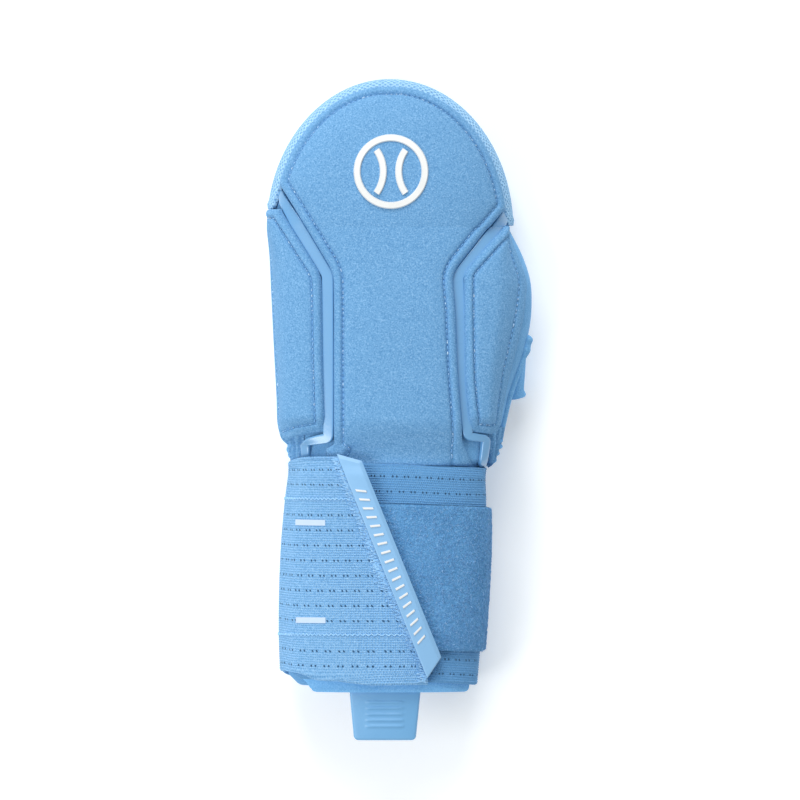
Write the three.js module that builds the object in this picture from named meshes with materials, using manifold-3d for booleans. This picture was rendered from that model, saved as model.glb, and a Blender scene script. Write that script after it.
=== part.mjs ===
// Sliding mitt for a left hand, lying palm down.
// Millimetres. +Z points up out of the back of the hand, +Y to the fingertips and +X to the thumb side.
// The origin is on the floor, under the middle of the mitt.
import * as THREE from "three";
import { mergeVertices } from "three/addons/utils/BufferGeometryUtils.js";
import Module from "manifold-3d";

const { clamp, degToRad, lerp, smoothstep } = THREE.MathUtils;

// Thicknesses
const GAP = 0.3;
const LAYER_GAP = 0.7;
const CAP_GAP = 0.9;
const WALL = 3.5;
const CAP = 1.2;
const STRIP = 1.2;
const BACK_PAD = 4.6;
const SIDE_PAD = 3.8;
const SIDE_THIN = 0.4;
const FLAP = 2.0;
const FLAP_GAP = 0.4;
const STRAP = 2.0;
const STRAP_GAP = 0.5;
const PATCH = 1.7;
const BAR = 3.2;
const TAB = 2.6;
const EMBLEM = 1.2;
const STALL = 1.4;

// The panels lie on the channel strips and the toe cap, so they stand this far off the shell.
const PANEL_SEAT = CAP_GAP + CAP + 2 * GAP;

// Sections of the hand part and the wrist, which share one skin.
// left and right are the widest points, waist their height, top the back of the hand, floor the palm.
const BODY = [
  { y: -127.0, left: -52.3, right: 33.0, top: 45.0, waist: 23.0, floor: 2.5 },
  { y: -100.0, left: -52.8, right: 35.2, top: 45.0, waist: 23.0, floor: 2.5 },
  { y: -64.0, left: -51.9, right: 37.2, top: 44.5, waist: 23.0, floor: 2.5 },
  { y: -42.0, left: -50.0, right: 37.2, top: 44.0, waist: 23.0, floor: 2.5 },
  { y: -27.0, left: -48.3, right: 37.4, top: 43.5, waist: 23.0, floor: 2.5 },
  { y: -24.5, left: -48.6, right: 38.8, top: 43.4, waist: 23.0, floor: 2.5 },
  { y: -20.0, left: -50.4, right: 42.8, top: 43.2, waist: 22.6, floor: 1.2 },
  { y: -12.0, left: -53.0, right: 45.6, top: 43.0, waist: 22.0, floor: 0.0 },
  { y: 6.0, left: -54.6, right: 49.8, top: 42.6, waist: 22.0, floor: 0.0 },
  { y: 30.0, left: -55.9, right: 57.8, top: 41.6, waist: 20.0, floor: 0.0 },
  { y: 54.0, left: -57.1, right: 60.4, top: 40.2, waist: 17.5, floor: 0.0 },
  { y: 70.0, left: -57.9, right: 56.4, top: 38.8, waist: 16.0, floor: 0.0 },
  { y: 82.6, left: -59.2, right: 50.0, top: 37.4, waist: 15.0, floor: 0.0 },
];
const ROUND_OVER = 2.3;
const ROUND_UNDER = 3.2;
const SETTLE = 0.8;

// The fingertip end is half an ellipse in plan, from the last section on.
const NOSE = { x: -4.6, y: 82.6, reach: 66.8 };
const WRIST_SEAM = -27.0;
const CUFF_END = -126.4;

// Plan edges of the back panel; over the fingertips a smaller ellipse trims them.
const BACK_EDGE = [
  { y: -21.0, left: -30.4, right: 28.4 },
  { y: -10.0, left: -30.5, right: 28.1 },
  { y: 17.4, left: -30.8, right: 26.3 },
  { y: 44.0, left: -30.9, right: 25.4 },
  { y: 61.8, left: -31.4, right: 23.9 },
  { y: 92.8, left: -49.4, right: 47.9 },
  { y: 100.5, left: -53.9, right: 53.9 },
  { y: 112.0, left: -60.7, right: 62.8 },
];
const BACK_NOSE = { half: 51.9, reach: 65.4, from: 100.5, tip: 0.14 };

// The side panel of the little-finger side: its channel edge in plan and the angle of its outer edge.
const OUTER_EDGE = [
  { y: -11.6, inner: -35.4, outer: 177 },
  { y: -7.0, inner: -34.2, outer: 178 },
  { y: 23.0, inner: -35.1, outer: 178 },
  { y: 52.8, inner: -35.7, outer: 178 },
  { y: 61.0, inner: -36.3, outer: 178 },
  { y: 91.2, inner: -53.8, outer: 177 },
];

// The side panel of the thumb side: both edges in plan.
const THUMB_EDGE = [
  { y: -11.4, inner: 32.9, outer: 44.3 },
  { y: 0.0, inner: 31.5, outer: 46.4 },
  { y: 12.9, inner: 30.2, outer: 49.6 },
  { y: 30.5, inner: 29.4, outer: 54.4 },
  { y: 43.7, inner: 29.1, outer: 57.2 },
  { y: 56.0, inner: 28.9, outer: 58.2 },
  { y: 62.1, inner: 28.6, outer: 57.4 },
  { y: 82.6, inner: 46.2, outer: 48.6 },
];
const THUMB_LOWEST = 7;

// Middle lines of the channel strips in plan. The panels cover a margin on each side of them.
const OUTER_STRIP = [
  { x: -53.0, y: 94.0, width: 2.4 },
  { x: -47.6, y: 85.0, width: 7.0 },
  { x: -33.6, y: 61.4, width: 7.6 },
  { x: -32.9, y: 22.5, width: 7.6 },
  { x: -32.6, y: -7.3, width: 7.6 },
  { x: -34.6, y: -14.4, width: 5.6 },
  { x: -41.6, y: -17.0, width: 4.6 },
  { x: -42.4, y: -22.6, width: 4.2 },
];
const THUMB_STRIP = [
  { x: 45.8, y: 85.6, width: 2.4 },
  { x: 40.0, y: 77.2, width: 6.6 },
  { x: 26.5, y: 60.4, width: 7.6 },
  { x: 28.1, y: 22.5, width: 7.6 },
  { x: 29.9, y: -7.3, width: 7.6 },
  { x: 31.6, y: -13.0, width: 5.6 },
  { x: 36.6, y: -15.4, width: 4.6 },
  { x: 36.6, y: -22.4, width: 3.6 },
];

// Where the toe cap's hem lies at the two sides, and over the back and the palm.
const CAP_EDGE = { outer: 92.4, thumb: 84.2, middle: 124.0, turn: 0.3, turned: 0.6 };

const EMBLEM_PLACE = { x: -4.1, y: 108.3, radius: 15.5, stroke: 3.2, seamRadius: 17.0, seamOffset: 20.5 };

// Thumb opening: the slot in the shell's side wall, the stall over its upper half and the rolled hem.
const SLOT = { from: -14.0, to: 20.0, low: 5.5, high: 15.5, inside: 30.0, outside: 75.0 };
const STALL_SPAN = { mouth: 5.6, top: 29.0, low: -45, high: -7.5, bulge: 9.2 };
const HEM = { from: -12.4, to: 31.0, angle: -3.0, radius: 1.3 };

// Gathered bindings at the two lower corners: the angles they run over and their lobes.
const GATHER = { radius: 1.3, lobe: 0.45, lobes: 3, seat: 0.5 };
const GATHER_OUTER = { from: 170, to: 204, high: -14.6, low: -21.6 };
const GATHER_THUMB = { from: 3, to: -18, high: -15.8, low: -20.6 };

const FLAP_SPAN = { from: 25, to: 140, top: -28.0, bottom: -129.2, corner: 5.0, cornerTurn: 12 };
const FLAP_RAMP = { near: 1, thumb: 17, outer: 15 };

// The strap's course: turn is the angle from its hidden start, clockwise seen from the wrist's end.
const STRAP_START = 146;
const STRAP_TURN = 400;
const STRAP_CLIMB = { from: 326, to: 348 };
const STRAP_COURSE = [
  { turn: 0, top: -24.4, bottom: -126.0 },
  { turn: 120, top: -25.6, bottom: -126.0 },
  { turn: 236, top: -25.6, bottom: -124.0 },
  { turn: 326, top: -25.2, bottom: -121.6 },
  { turn: 372, top: -21.6, bottom: -125.8 },
];
const STRAP_END = [
  { y: -127.0, x: 11.2 },
  { y: -116.0, x: 11.2 },
  { y: -21.0, x: -26.4 },
];
const PATCH_SPAN = { top: -43.2, bottom: -110.4, end: -18, tuck: 2.6 };

// The bar's four corners in plan: along it from the top end, across it from the strap's side.
const BAR_PLAN = {
  topLeft: [-28.9, -20.4],
  topRight: [-17.4, -23.6],
  endLeft: [12.4, -122.6],
  endRight: [18.8, -112.9],
};
const BAR_EDGE = 0.45;
const BAR_SOFT = 0.8;

const TAB_SPAN = { root: -126.8, end: -151.2 };
const TAB_SIDES = { rootLeft: -23.2, rootRight: 9.6, endLeft: -21.2, endRight: 7.4 };
const TAB_CORNER = 2.4;
const TAB_DROOP = 3.0;

const wasm = await Module();
wasm.setup();

// Readers of a table's column: a smooth one for soft forms and a straight one for cut edges.
function column(Interpolant, rows, key, name) {
  const curve = new Interpolant(
    rows.map((row) => row[key]),
    rows.map((row) => row[name]),
    1,
  );
  return (at) => curve.evaluate(at)[0];
}

const body = {};
for (const name of ["left", "right", "top", "waist", "floor"]) {
  body[name] = column(THREE.CubicInterpolant, BODY, "y", name);
}

// The section at a station, drawn in by inset: its middle, half width, waist, rise, drop and floor.
function section(y, inset = 0) {
  const at = Math.min(y, NOSE.y);
  const along = Math.max(0, y - NOSE.y) / (NOSE.reach - inset);
  const round = Math.sqrt(Math.max(0, 1 - along * along));
  const waist = body.waist(at);
  const floor = Math.max(0, body.floor(at));
  return {
    middle: (body.left(at) + body.right(at)) / 2,
    half: ((body.right(at) - body.left(at)) / 2 - inset) * round,
    waist,
    rise: (body.top(at) - waist - inset) * round,
    drop: (waist - floor + SETTLE - inset) * round,
    floor: floor + inset,
  };
}

const power = (value, exponent) => Math.sign(value) * Math.abs(value) ** exponent;

// A point of the body's skin: angle 0 is the thumb side, 90 degrees the back of the hand.
function skinPoint(angle, y, inset = 0) {
  const cut = section(y, inset);
  const over = Math.sin(angle) >= 0;
  const exponent = 2 / (over ? ROUND_OVER : ROUND_UNDER);
  const x = cut.middle + cut.half * power(Math.cos(angle), exponent);
  const z = cut.waist + (over ? cut.rise : cut.drop) * power(Math.sin(angle), exponent);
  return new THREE.Vector3(x, y, Math.max(z, cut.floor));
}

// A point off the skin by a distance along its outward normal.
function offSkin(angle, y, distance) {
  const step = 0.02;
  const reach = 0.2;
  const around = skinPoint(angle + step, y).sub(skinPoint(angle - step, y));
  const along = skinPoint(angle, y + reach).sub(skinPoint(angle, y - reach));
  return skinPoint(angle, y).addScaledVector(along.cross(around).normalize(), distance);
}

// The angle of the point of the back that lies at x in plan.
function angleAt(x, y) {
  const cut = section(y);
  const across = clamp((x - cut.middle) / cut.half, -0.9999, 0.9999);
  return Math.acos(power(across, ROUND_OVER / 2));
}

// Height of a layer that stands off the back of the hand by a distance, at a place in plan.
function backHeight(x, y, distance) {
  const angle = angleAt(x, y);
  const base = skinPoint(angle, y);
  const lift = offSkin(angle, y, 1).z - base.z;
  return base.z + distance / Math.max(lift, 0.35);
}

// A closed geometry from points and triangles, turned so that its faces look outwards.
function closed(points, faces) {
  let volume = 0;
  for (let i = 0; i < faces.length; i += 3) {
    const [a, b, c] = [points[faces[i]], points[faces[i + 1]], points[faces[i + 2]]];
    volume += a.dot(new THREE.Vector3().crossVectors(b, c));
  }
  return new THREE.BufferGeometry()
    .setFromPoints(points)
    .setIndex(volume < 0 ? faces.toReversed() : faces);
}

// A skin through closed rings. A ring of one point is a pole; a looped run joins its two end rings.
function skin(rings, looped = false) {
  const points = rings.flat();
  const starts = rings.map((ring, i) => rings.slice(0, i).reduce((sum, before) => sum + before.length, 0));
  const faces = [];
  const joins = looped ? rings.length : rings.length - 1;
  for (let i = 0; i < joins; i++) {
    const next = (i + 1) % rings.length;
    const count = Math.max(rings[i].length, rings[next].length);
    for (let j = 0; j < count; j++) {
      const k = (j + 1) % count;
      const near = [j, k].map((n) => starts[i] + (n % rings[i].length));
      const far = [j, k].map((n) => starts[next] + (n % rings[next].length));
      if (near[0] !== near[1]) {
        faces.push(near[0], near[1], far[1]);
      }
      if (far[0] !== far[1]) {
        faces.push(near[0], far[1], far[0]);
      }
    }
  }
  return closed(points, faces);
}

// A sheet with thickness. at(u, v, face) gives a point of its inner face (0) or its outer face (1).
function slab(us, vs, at) {
  const points = [];
  for (const face of [0, 1]) {
    for (const u of us) {
      for (const v of vs) {
        points.push(at(u, v, face));
      }
    }
  }
  const index = (i, j, face) => (face * us.length + i) * vs.length + j;
  const faces = [];
  const lastU = us.length - 1;
  const lastV = vs.length - 1;
  for (let i = 0; i < lastU; i++) {
    for (let j = 0; j < lastV; j++) {
      const corners = [[i, j], [i + 1, j], [i + 1, j + 1], [i, j + 1]];
      const [a, b, c, d] = corners.map(([k, l]) => index(k, l, 1));
      faces.push(a, b, c, a, c, d);
      const [e, f, g, h] = corners.map(([k, l]) => index(k, l, 0));
      faces.push(e, g, f, e, h, g);
    }
  }
  const rim = [];
  for (let i = 0; i < lastU; i++) {
    rim.push([i, 0]);
  }
  for (let j = 0; j < lastV; j++) {
    rim.push([lastU, j]);
  }
  for (let i = lastU; i > 0; i--) {
    rim.push([i, lastV]);
  }
  for (let j = lastV; j > 0; j--) {
    rim.push([0, j]);
  }
  rim.forEach(([i, j], n) => {
    const [k, l] = rim[(n + 1) % rim.length];
    faces.push(index(i, j, 0), index(k, l, 0), index(k, l, 1));
    faces.push(index(i, j, 0), index(k, l, 1), index(i, j, 1));
  });
  return closed(points, faces);
}

const steps = (from, to, count) => Array.from({ length: count + 1 }, (_, i) => lerp(from, to, i / count));

// Stations of a table, with each interval cut into steps no longer than a length.
function stations(rows, longest) {
  const list = [rows[0].y];
  for (let i = 1; i < rows.length; i++) {
    const count = Math.ceil((rows[i].y - rows[i - 1].y) / longest);
    list.push(...steps(rows[i - 1].y, rows[i].y, count).slice(1));
  }
  return list;
}

// Fullness of a padded panel: low at its rim, full from a short way in.
const PAD_ACROSS = [0, 0.04, 0.12, 0.3, 0.5, 0.7, 0.88, 0.96, 1];
function fullness(u, ends) {
  const side = smoothstep(Math.min(u, 1 - u), -0.06, 0.12);
  return side * smoothstep(ends, -4, 6);
}

const AROUND = steps(0, 2 * Math.PI, 36).slice(0, -1);
const ring = (y, inset) => AROUND.map((angle) => skinPoint(angle, y, inset));
const noseStations = (inset, count) =>
  steps(0, Math.PI / 2, count).map((turn) => NOSE.y + (NOSE.reach - inset) * Math.sin(turn));

// Rings of the hand part from the wrist seam to the pole at the fingertips.
function handRings(inset, longest, noseCount) {
  const hand = BODY.filter((row) => row.y >= WRIST_SEAM);
  const nose = noseStations(inset, noseCount);
  const rings = [...stations(hand, longest), ...nose.slice(1, -1)].map((y) => ring(y, inset));
  const tip = section(NOSE.y);
  return [...rings, [new THREE.Vector3(tip.middle, nose.at(-1), tip.waist)]];
}

// The hand part: an inner skin, a rim at the wrist seam and an outer skin, each closed by a pole.
function shellSkin() {
  return skin([...handRings(WALL, 25, 6).reverse(), ...handRings(0, 13, 8)]);
}

// The space that the hand part fills, grown or drawn in by inset.
function outerSkin(inset) {
  const rings = handRings(inset, 13, 8);
  const wrist = section(WRIST_SEAM);
  return skin([[new THREE.Vector3(wrist.middle, WRIST_SEAM, wrist.waist)], ...rings]);
}

function solid(geometry) {
  const bare = geometry.clone();
  bare.deleteAttribute("normal");
  bare.deleteAttribute("uv");
  const merged = mergeVertices(bare, 1e-3);
  return new wasm.Manifold(
    new wasm.Mesh({
      numProp: 3,
      vertProperties: new Float32Array(merged.attributes.position.array),
      triVerts: new Uint32Array(merged.index.array),
    }),
  );
}

function geometryOf(manifold) {
  const mesh = manifold.getMesh();
  const geometry = new THREE.BufferGeometry();
  geometry.setAttribute("position", new THREE.BufferAttribute(mesh.vertProperties, 3));
  return geometry.setIndex(new THREE.BufferAttribute(mesh.triVerts, 1));
}

// The thumb slot's cutter: a round-ended slot in the side wall, run out along X.
function slotCutter() {
  const round = (SLOT.high - SLOT.low) / 2;
  const middle = (SLOT.high + SLOT.low) / 2;
  const outline = new THREE.Shape();
  outline.absarc(SLOT.to - round, middle, round, -Math.PI / 2, Math.PI / 2);
  outline.absarc(SLOT.from + round, middle, round, Math.PI / 2, (3 * Math.PI) / 2);
  const cutter = new THREE.ExtrudeGeometry(outline, {
    depth: SLOT.outside - SLOT.inside,
    bevelEnabled: false,
    curveSegments: 8,
  });
  const axes = new THREE.Matrix4().makeBasis(
    new THREE.Vector3(0, 1, 0),
    new THREE.Vector3(0, 0, 1),
    new THREE.Vector3(1, 0, 0),
  );
  return cutter.applyMatrix4(axes).translate(SLOT.inside, 0, 0);
}

function mittShell() {
  return geometryOf(solid(shellSkin()).subtract(solid(slotCutter())));
}

// Hem line of the toe cap round the section.
function capHem(angle) {
  const side = lerp(CAP_EDGE.outer, CAP_EDGE.thumb, (1 + Math.cos(angle)) / 2);
  return lerp(side, CAP_EDGE.middle, smoothstep(Math.abs(Math.sin(angle)), CAP_EDGE.turn, CAP_EDGE.turned));
}

function toeCap() {
  const side = (inset) => {
    const tip = NOSE.y + NOSE.reach - inset;
    const rings = steps(0, Math.PI / 2, 7).slice(0, -1).map((turn) =>
      AROUND.map((angle) => {
        const y = lerp(capHem(angle), tip, Math.sin(turn));
        return skinPoint(angle, y, inset);
      }),
    );
    const end = section(NOSE.y);
    return [...rings, [new THREE.Vector3(end.middle, tip, end.waist)]];
  };
  const whole = solid(skin([...side(-CAP_GAP).reverse(), ...side(-CAP_GAP - CAP)]));
  return geometryOf(whole.subtract(solid(outerSkin(-GAP))));
}

const backLeft = column(THREE.LinearInterpolant, BACK_EDGE, "y", "left");
const backRight = column(THREE.LinearInterpolant, BACK_EDGE, "y", "right");

// Left and right edges of the back panel at a station.
function backEdges(y) {
  const along = Math.max(0, y - NOSE.y) / BACK_NOSE.reach;
  const half = BACK_NOSE.half * Math.sqrt(Math.max(0, 1 - along * along));
  return [Math.max(backLeft(y), NOSE.x - half), Math.min(backRight(y), NOSE.x + half)];
}
const BACK_TOP = NOSE.y + BACK_NOSE.reach * Math.cos(BACK_NOSE.tip);

function backTop(x, y) {
  const [left, right] = backEdges(y);
  const across = clamp((x - left) / (right - left), 0, 1);
  return backHeight(x, y, PANEL_SEAT) + BACK_PAD * fullness(across, BACK_TOP - y);
}

function backPanel() {
  const lower = stations(BACK_EDGE.filter((row) => row.y <= BACK_NOSE.from), 16);
  const last = Math.asin((lower.at(-1) - NOSE.y) / BACK_NOSE.reach);
  const upper = steps(last, Math.PI / 2 - BACK_NOSE.tip, 8).map(
    (turn) => NOSE.y + BACK_NOSE.reach * Math.sin(turn),
  );
  return slab([...lower, ...upper.slice(1)], PAD_ACROSS, (y, u, face) => {
    const [left, right] = backEdges(y);
    const x = lerp(left, right, u);
    return new THREE.Vector3(x, y, face ? backTop(x, y) : backHeight(x, y, PANEL_SEAT));
  });
}

// A side panel between two angles at each station, seated on the strip at its inner edge.
function sidePanel(rows, innerAngle, outerAngle) {
  const ys = stations(rows, 13);
  return slab(ys, PAD_ACROSS, (y, u, face) => {
    const angle = lerp(innerAngle(y), outerAngle(y), u);
    const outwards = smoothstep(u, 0.35, 0.9);
    const seat = lerp(PANEL_SEAT + GAP, LAYER_GAP, outwards);
    const ends = Math.min(y - ys[0], ys.at(-1) - y);
    const full = lerp(1, SIDE_THIN, outwards) * Math.max(fullness(u, ends), 0.25);
    return offSkin(angle, y, seat + face * SIDE_PAD * full);
  });
}

function outerPanel() {
  const inner = column(THREE.LinearInterpolant, OUTER_EDGE, "y", "inner");
  const outer = column(THREE.LinearInterpolant, OUTER_EDGE, "y", "outer");
  return sidePanel(OUTER_EDGE, (y) => angleAt(inner(y), y), (y) => degToRad(outer(y)));
}

function thumbPanel() {
  const inner = column(THREE.LinearInterpolant, THUMB_EDGE, "y", "inner");
  const outer = column(THREE.LinearInterpolant, THUMB_EDGE, "y", "outer");
  const lowest = degToRad(THUMB_LOWEST);
  return sidePanel(
    THUMB_EDGE,
    (y) => angleAt(inner(y), y),
    (y) => Math.max(lowest, angleAt(outer(y), y)),
  );
}

// A ribbon laid on the back along a line in plan.
function strip(line) {
  const corners = line.map((at) => new THREE.Vector2(at.x, at.y));
  const joints = corners.map((corner, i) => {
    const before = corners[Math.max(0, i - 1)];
    const after = corners[Math.min(corners.length - 1, i + 1)];
    const way = after.clone().sub(before).normalize();
    return { corner, side: new THREE.Vector2(way.y, -way.x).multiplyScalar(line[i].width) };
  });
  const legs = joints.slice(1).flatMap((to, i) => {
    const from = joints[i];
    const count = Math.ceil(to.corner.distanceTo(from.corner) / 8);
    return steps(0, 1, count).slice(i === 0 ? 0 : 1).map((t) => ({
      place: from.corner.clone().lerp(to.corner, t),
      side: from.side.clone().lerp(to.side, t),
    }));
  });
  return slab(steps(0, legs.length - 1, legs.length - 1), [-0.5, 0, 0.5], (leg, v, face) => {
    const { place, side } = legs[Math.round(leg)];
    const plan = place.clone().addScaledVector(side, v);
    return offSkin(angleAt(plan.x, plan.y), plan.y, LAYER_GAP + face * STRIP);
  });
}

// A raised ball mark: a ring with two seam arcs, laid on the back panel.
function emblem() {
  const { x, y, radius, stroke, seamRadius, seamOffset } = EMBLEM_PLACE;
  const depth = { depth: EMBLEM, bevelEnabled: false, curveSegments: 16 };
  const disc = (cx, r) => {
    const outline = new THREE.Shape();
    outline.absarc(cx, 0, r, 0, 2 * Math.PI);
    return solid(new THREE.ExtrudeGeometry(outline, depth));
  };
  const band = (cx, r) => disc(cx, r + stroke / 2).subtract(disc(cx, r - stroke / 2));
  const seams = band(-seamOffset, seamRadius).add(band(seamOffset, seamRadius));
  const inside = disc(0, radius);
  const flat = geometryOf(band(0, radius).add(seams.intersect(inside)));
  const places = flat.getAttribute("position");
  for (let i = 0; i < places.count; i++) {
    const px = places.getX(i) + x;
    const py = places.getY(i) + y;
    places.setXYZ(i, px, py, places.getZ(i) + GAP + backTop(px, py));
  }
  return flat;
}

// The stall: a scoop on the side wall that stands off most at its mouth.
function thumbStall() {
  const { mouth, top, low, high, bulge } = STALL_SPAN;
  return slab(steps(degToRad(low), degToRad(high), 8), steps(0, 1, 5), (angle, v, face) => {
    const across = clamp((angle - degToRad(low)) / degToRad(high - low), 0, 1);
    const belly = bulge * Math.abs(Math.sin(Math.PI * across)) ** 0.6 * (1 - v * v);
    const seat = offSkin(angle, lerp(mouth, top, v), GAP + face * STALL);
    return seat.add(new THREE.Vector3(belly, 0, 0));
  });
}

// A roll of round section, whose middle line and radius follow t from 0 to 1.
function roll(count, middle, radius) {
  const sides = steps(0, 2 * Math.PI, 6).slice(0, -1);
  const rings = steps(0, 1, count).map((t) => {
    const at = middle(t);
    const way = middle(Math.min(1, t + 0.01)).sub(middle(Math.max(0, t - 0.01))).normalize();
    const across = new THREE.Vector3(0, 0, 1).cross(way).normalize();
    const up = way.clone().cross(across);
    const r = radius(t);
    return sides.map((turn) =>
      at
        .clone()
        .addScaledVector(across, r * Math.cos(turn))
        .addScaledVector(up, r * Math.sin(turn)),
    );
  });
  return skin([[middle(0)], ...rings, [middle(1)]]);
}

function thumbHem() {
  const angle = degToRad(HEM.angle);
  return roll(
    14,
    (t) => offSkin(angle, lerp(HEM.from, HEM.to, t), GAP + HEM.radius),
    () => HEM.radius,
  );
}

function gather({ from, to, high, low }) {
  const { radius, lobe, lobes, seat } = GATHER;
  return roll(
    15,
    (t) => offSkin(degToRad(lerp(from, to, t)), lerp(high, low, t), radius + lobe + seat),
    (t) => radius + lobe * Math.cos(2 * Math.PI * lobes * t),
  );
}

function cuff() {
  const ys = stations(BODY.filter((row) => row.y < WRIST_SEAM), 30);
  const places = [CUFF_END, ...ys.slice(1), WRIST_SEAM - GAP];
  const outside = places.map((y) => ring(y, 0));
  const inside = places.map((y) => ring(y, WALL));
  return skin([...outside, ...inside.reverse()], true);
}

function cuffFlap() {
  const { from, to, top, bottom, corner, cornerTurn } = FLAP_SPAN;
  const ys = [bottom, bottom + 0.25 * corner, bottom + corner, ...steps(bottom + 2 * corner, top, 3)];
  return slab(ys, steps(0, 1, 12), (y, u, face) => {
    const short = clamp(1 - (y - bottom) / corner, 0, 1);
    const trim = cornerTurn * (1 - Math.sqrt(1 - short * short));
    return offSkin(degToRad(lerp(from + trim, to - trim, u)), y, FLAP_GAP + face * FLAP);
  });
}

// How far the strap's first layer stands off the skin: over the flap it is lifted by it.
function strapSeat(angle) {
  const { near, thumb, outer } = FLAP_RAMP;
  const rise = smoothstep(angle, FLAP_SPAN.from - thumb, FLAP_SPAN.from - near);
  const fall = smoothstep(angle, FLAP_SPAN.to + near, FLAP_SPAN.to + outer);
  return STRAP_GAP + (FLAP_GAP + FLAP) * rise * (1 - fall);
}
const wrap = (angle) => THREE.MathUtils.euclideanModulo(angle + 180, 360) - 180;

const strapTop = column(THREE.CubicInterpolant, STRAP_COURSE, "turn", "top");
const strapBottom = column(THREE.CubicInterpolant, STRAP_COURSE, "turn", "bottom");
const strapEnd = column(THREE.LinearInterpolant, STRAP_END, "y", "x");

function wristStrap() {
  return slab(steps(0, 1, 50), steps(0, 1, 4), (u, v, face) => {
    const rough = u * STRAP_TURN;
    const y = lerp(strapBottom(rough), strapTop(rough), v);
    const end = THREE.MathUtils.radToDeg(angleAt(strapEnd(y), y));
    const turn = u * (STRAP_START + 360 - end);
    const angle = wrap(STRAP_START - turn);
    const second = smoothstep(turn, STRAP_CLIMB.from, STRAP_CLIMB.to) * (STRAP + STRAP_GAP);
    return offSkin(degToRad(angle), y, strapSeat(angle) + second + face * STRAP);
  });
}

function loopPatch() {
  const { top, bottom, end, tuck } = PATCH_SPAN;
  return slab(steps(0, 1, 14), steps(bottom, top, 4), (u, y, face) => {
    const start = THREE.MathUtils.radToDeg(angleAt(strapEnd(y) + tuck, y));
    const angle = lerp(start, end, u);
    const seat = strapSeat(angle) + STRAP + STRAP_GAP;
    return offSkin(degToRad(angle), y, seat + face * PATCH);
  });
}

// Height of the strap's outer layer at a place in plan.
function strapHeight(x, y) {
  const angle = THREE.MathUtils.radToDeg(angleAt(x, y));
  return backHeight(x, y, strapSeat(angle) + 2 * (STRAP + STRAP_GAP));
}

function strapBar() {
  const { topLeft, topRight, endLeft, endRight } = BAR_PLAN;
  const across = [0, 0.08, 0.8, 1];
  const along = [0, 0.025, ...steps(0.1, 0.9, 9), 0.98, 1];
  return slab(along, across, (u, v, face) => {
    const x = lerp(lerp(topLeft[0], endLeft[0], u), lerp(topRight[0], endRight[0], u), v);
    const y = lerp(lerp(topLeft[1], endLeft[1], u), lerp(topRight[1], endRight[1], u), v);
    const bevelled = v === 1 || u === 0;
    const softened = v === 0 || u === 1;
    const height = bevelled ? BAR_EDGE * BAR : softened ? BAR_SOFT * BAR : BAR;
    return new THREE.Vector3(x, y, strapHeight(x, y) + face * height);
  });
}

// The tab: a tapered plate with round corners that follows the cuff's curve and droops to its free end.
function pullTab() {
  const { root, end } = TAB_SPAN;
  const { rootLeft, rootRight, endLeft, endRight } = TAB_SIDES;
  return slab(steps(0, 1, 6), steps(0, 1, 8), (u, v, face) => {
    const left = lerp(rootLeft, endLeft, u);
    const right = lerp(rootRight, endRight, u);
    const x = lerp(left, right, v);
    const rim = Math.min(x - left, right - x);
    const short = clamp(1 - rim / TAB_CORNER, 0, 1);
    const y = lerp(root, end + TAB_CORNER * (1 - Math.sqrt(1 - short * short)), u);
    const seat = skinPoint(angleAt(x, BODY[0].y), BODY[0].y).z - TAB - GAP;
    return new THREE.Vector3(x, y, seat - TAB_DROOP * u * u + face * TAB);
  });
}

// Finishes
const finish = (color, roughness) => new THREE.MeshStandardMaterial({ color, roughness, metalness: 0 });
const KNIT = finish(0x77aedd, 0.9);
const MESH_CLOTH = finish(0x8fc2ec, 0.85);
const NEOPRENE = finish(0x6a9fcf, 0.85);
const MOULDED = finish(0x86bff0, 0.4);
const ELASTIC = finish(0x7fb6e4, 0.85);
const PILE = finish(0x5a90c2, 0.95);
const WHITE = finish(0xeeedea, 0.5);

const part = new THREE.Group();
function add(name, geometry, material) {
  const mesh = new THREE.Mesh(geometry, material);
  mesh.name = name;
  part.add(mesh);
}

add("mitt_shell", mittShell(), NEOPRENE);
add("toe_cap", toeCap(), MESH_CLOTH);
add("back_panel", backPanel(), KNIT);
add("side_panel_outer", outerPanel(), KNIT);
add("side_panel_thumb", thumbPanel(), KNIT);
add("channel_strip_outer", strip(OUTER_STRIP), MOULDED);
add("channel_strip_thumb", strip(THUMB_STRIP), MOULDED);
add("emblem", emblem(), WHITE);
add("thumb_stall", thumbStall(), NEOPRENE);
add("thumb_hem", thumbHem(), NEOPRENE);
add("gather_outer", gather(GATHER_OUTER), NEOPRENE);
add("gather_thumb", gather(GATHER_THUMB), NEOPRENE);
add("cuff", cuff(), NEOPRENE);
add("cuff_flap", cuffFlap(), NEOPRENE);
add("wrist_strap", wristStrap(), ELASTIC);
add("loop_patch", loopPatch(), PILE);
add("strap_bar", strapBar(), MOULDED);
add("pull_tab", pullTab(), MOULDED);

export default part;
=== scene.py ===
"""Looks of a left-hand sliding mitt that lies palm down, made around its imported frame.

Lengths are millimetres, and the mesh maker turns them into metres. +Z points up out of the back of the
hand, +Y to the fingertips and +X to the thumb side. An angle round a section runs from the thumb side
(0) over the back (a quarter turn) to the outer side (half a turn).
"""
import logging
import math
from dataclasses import dataclass
from enum import Enum
from typing import Optional, Sequence, Union

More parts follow.
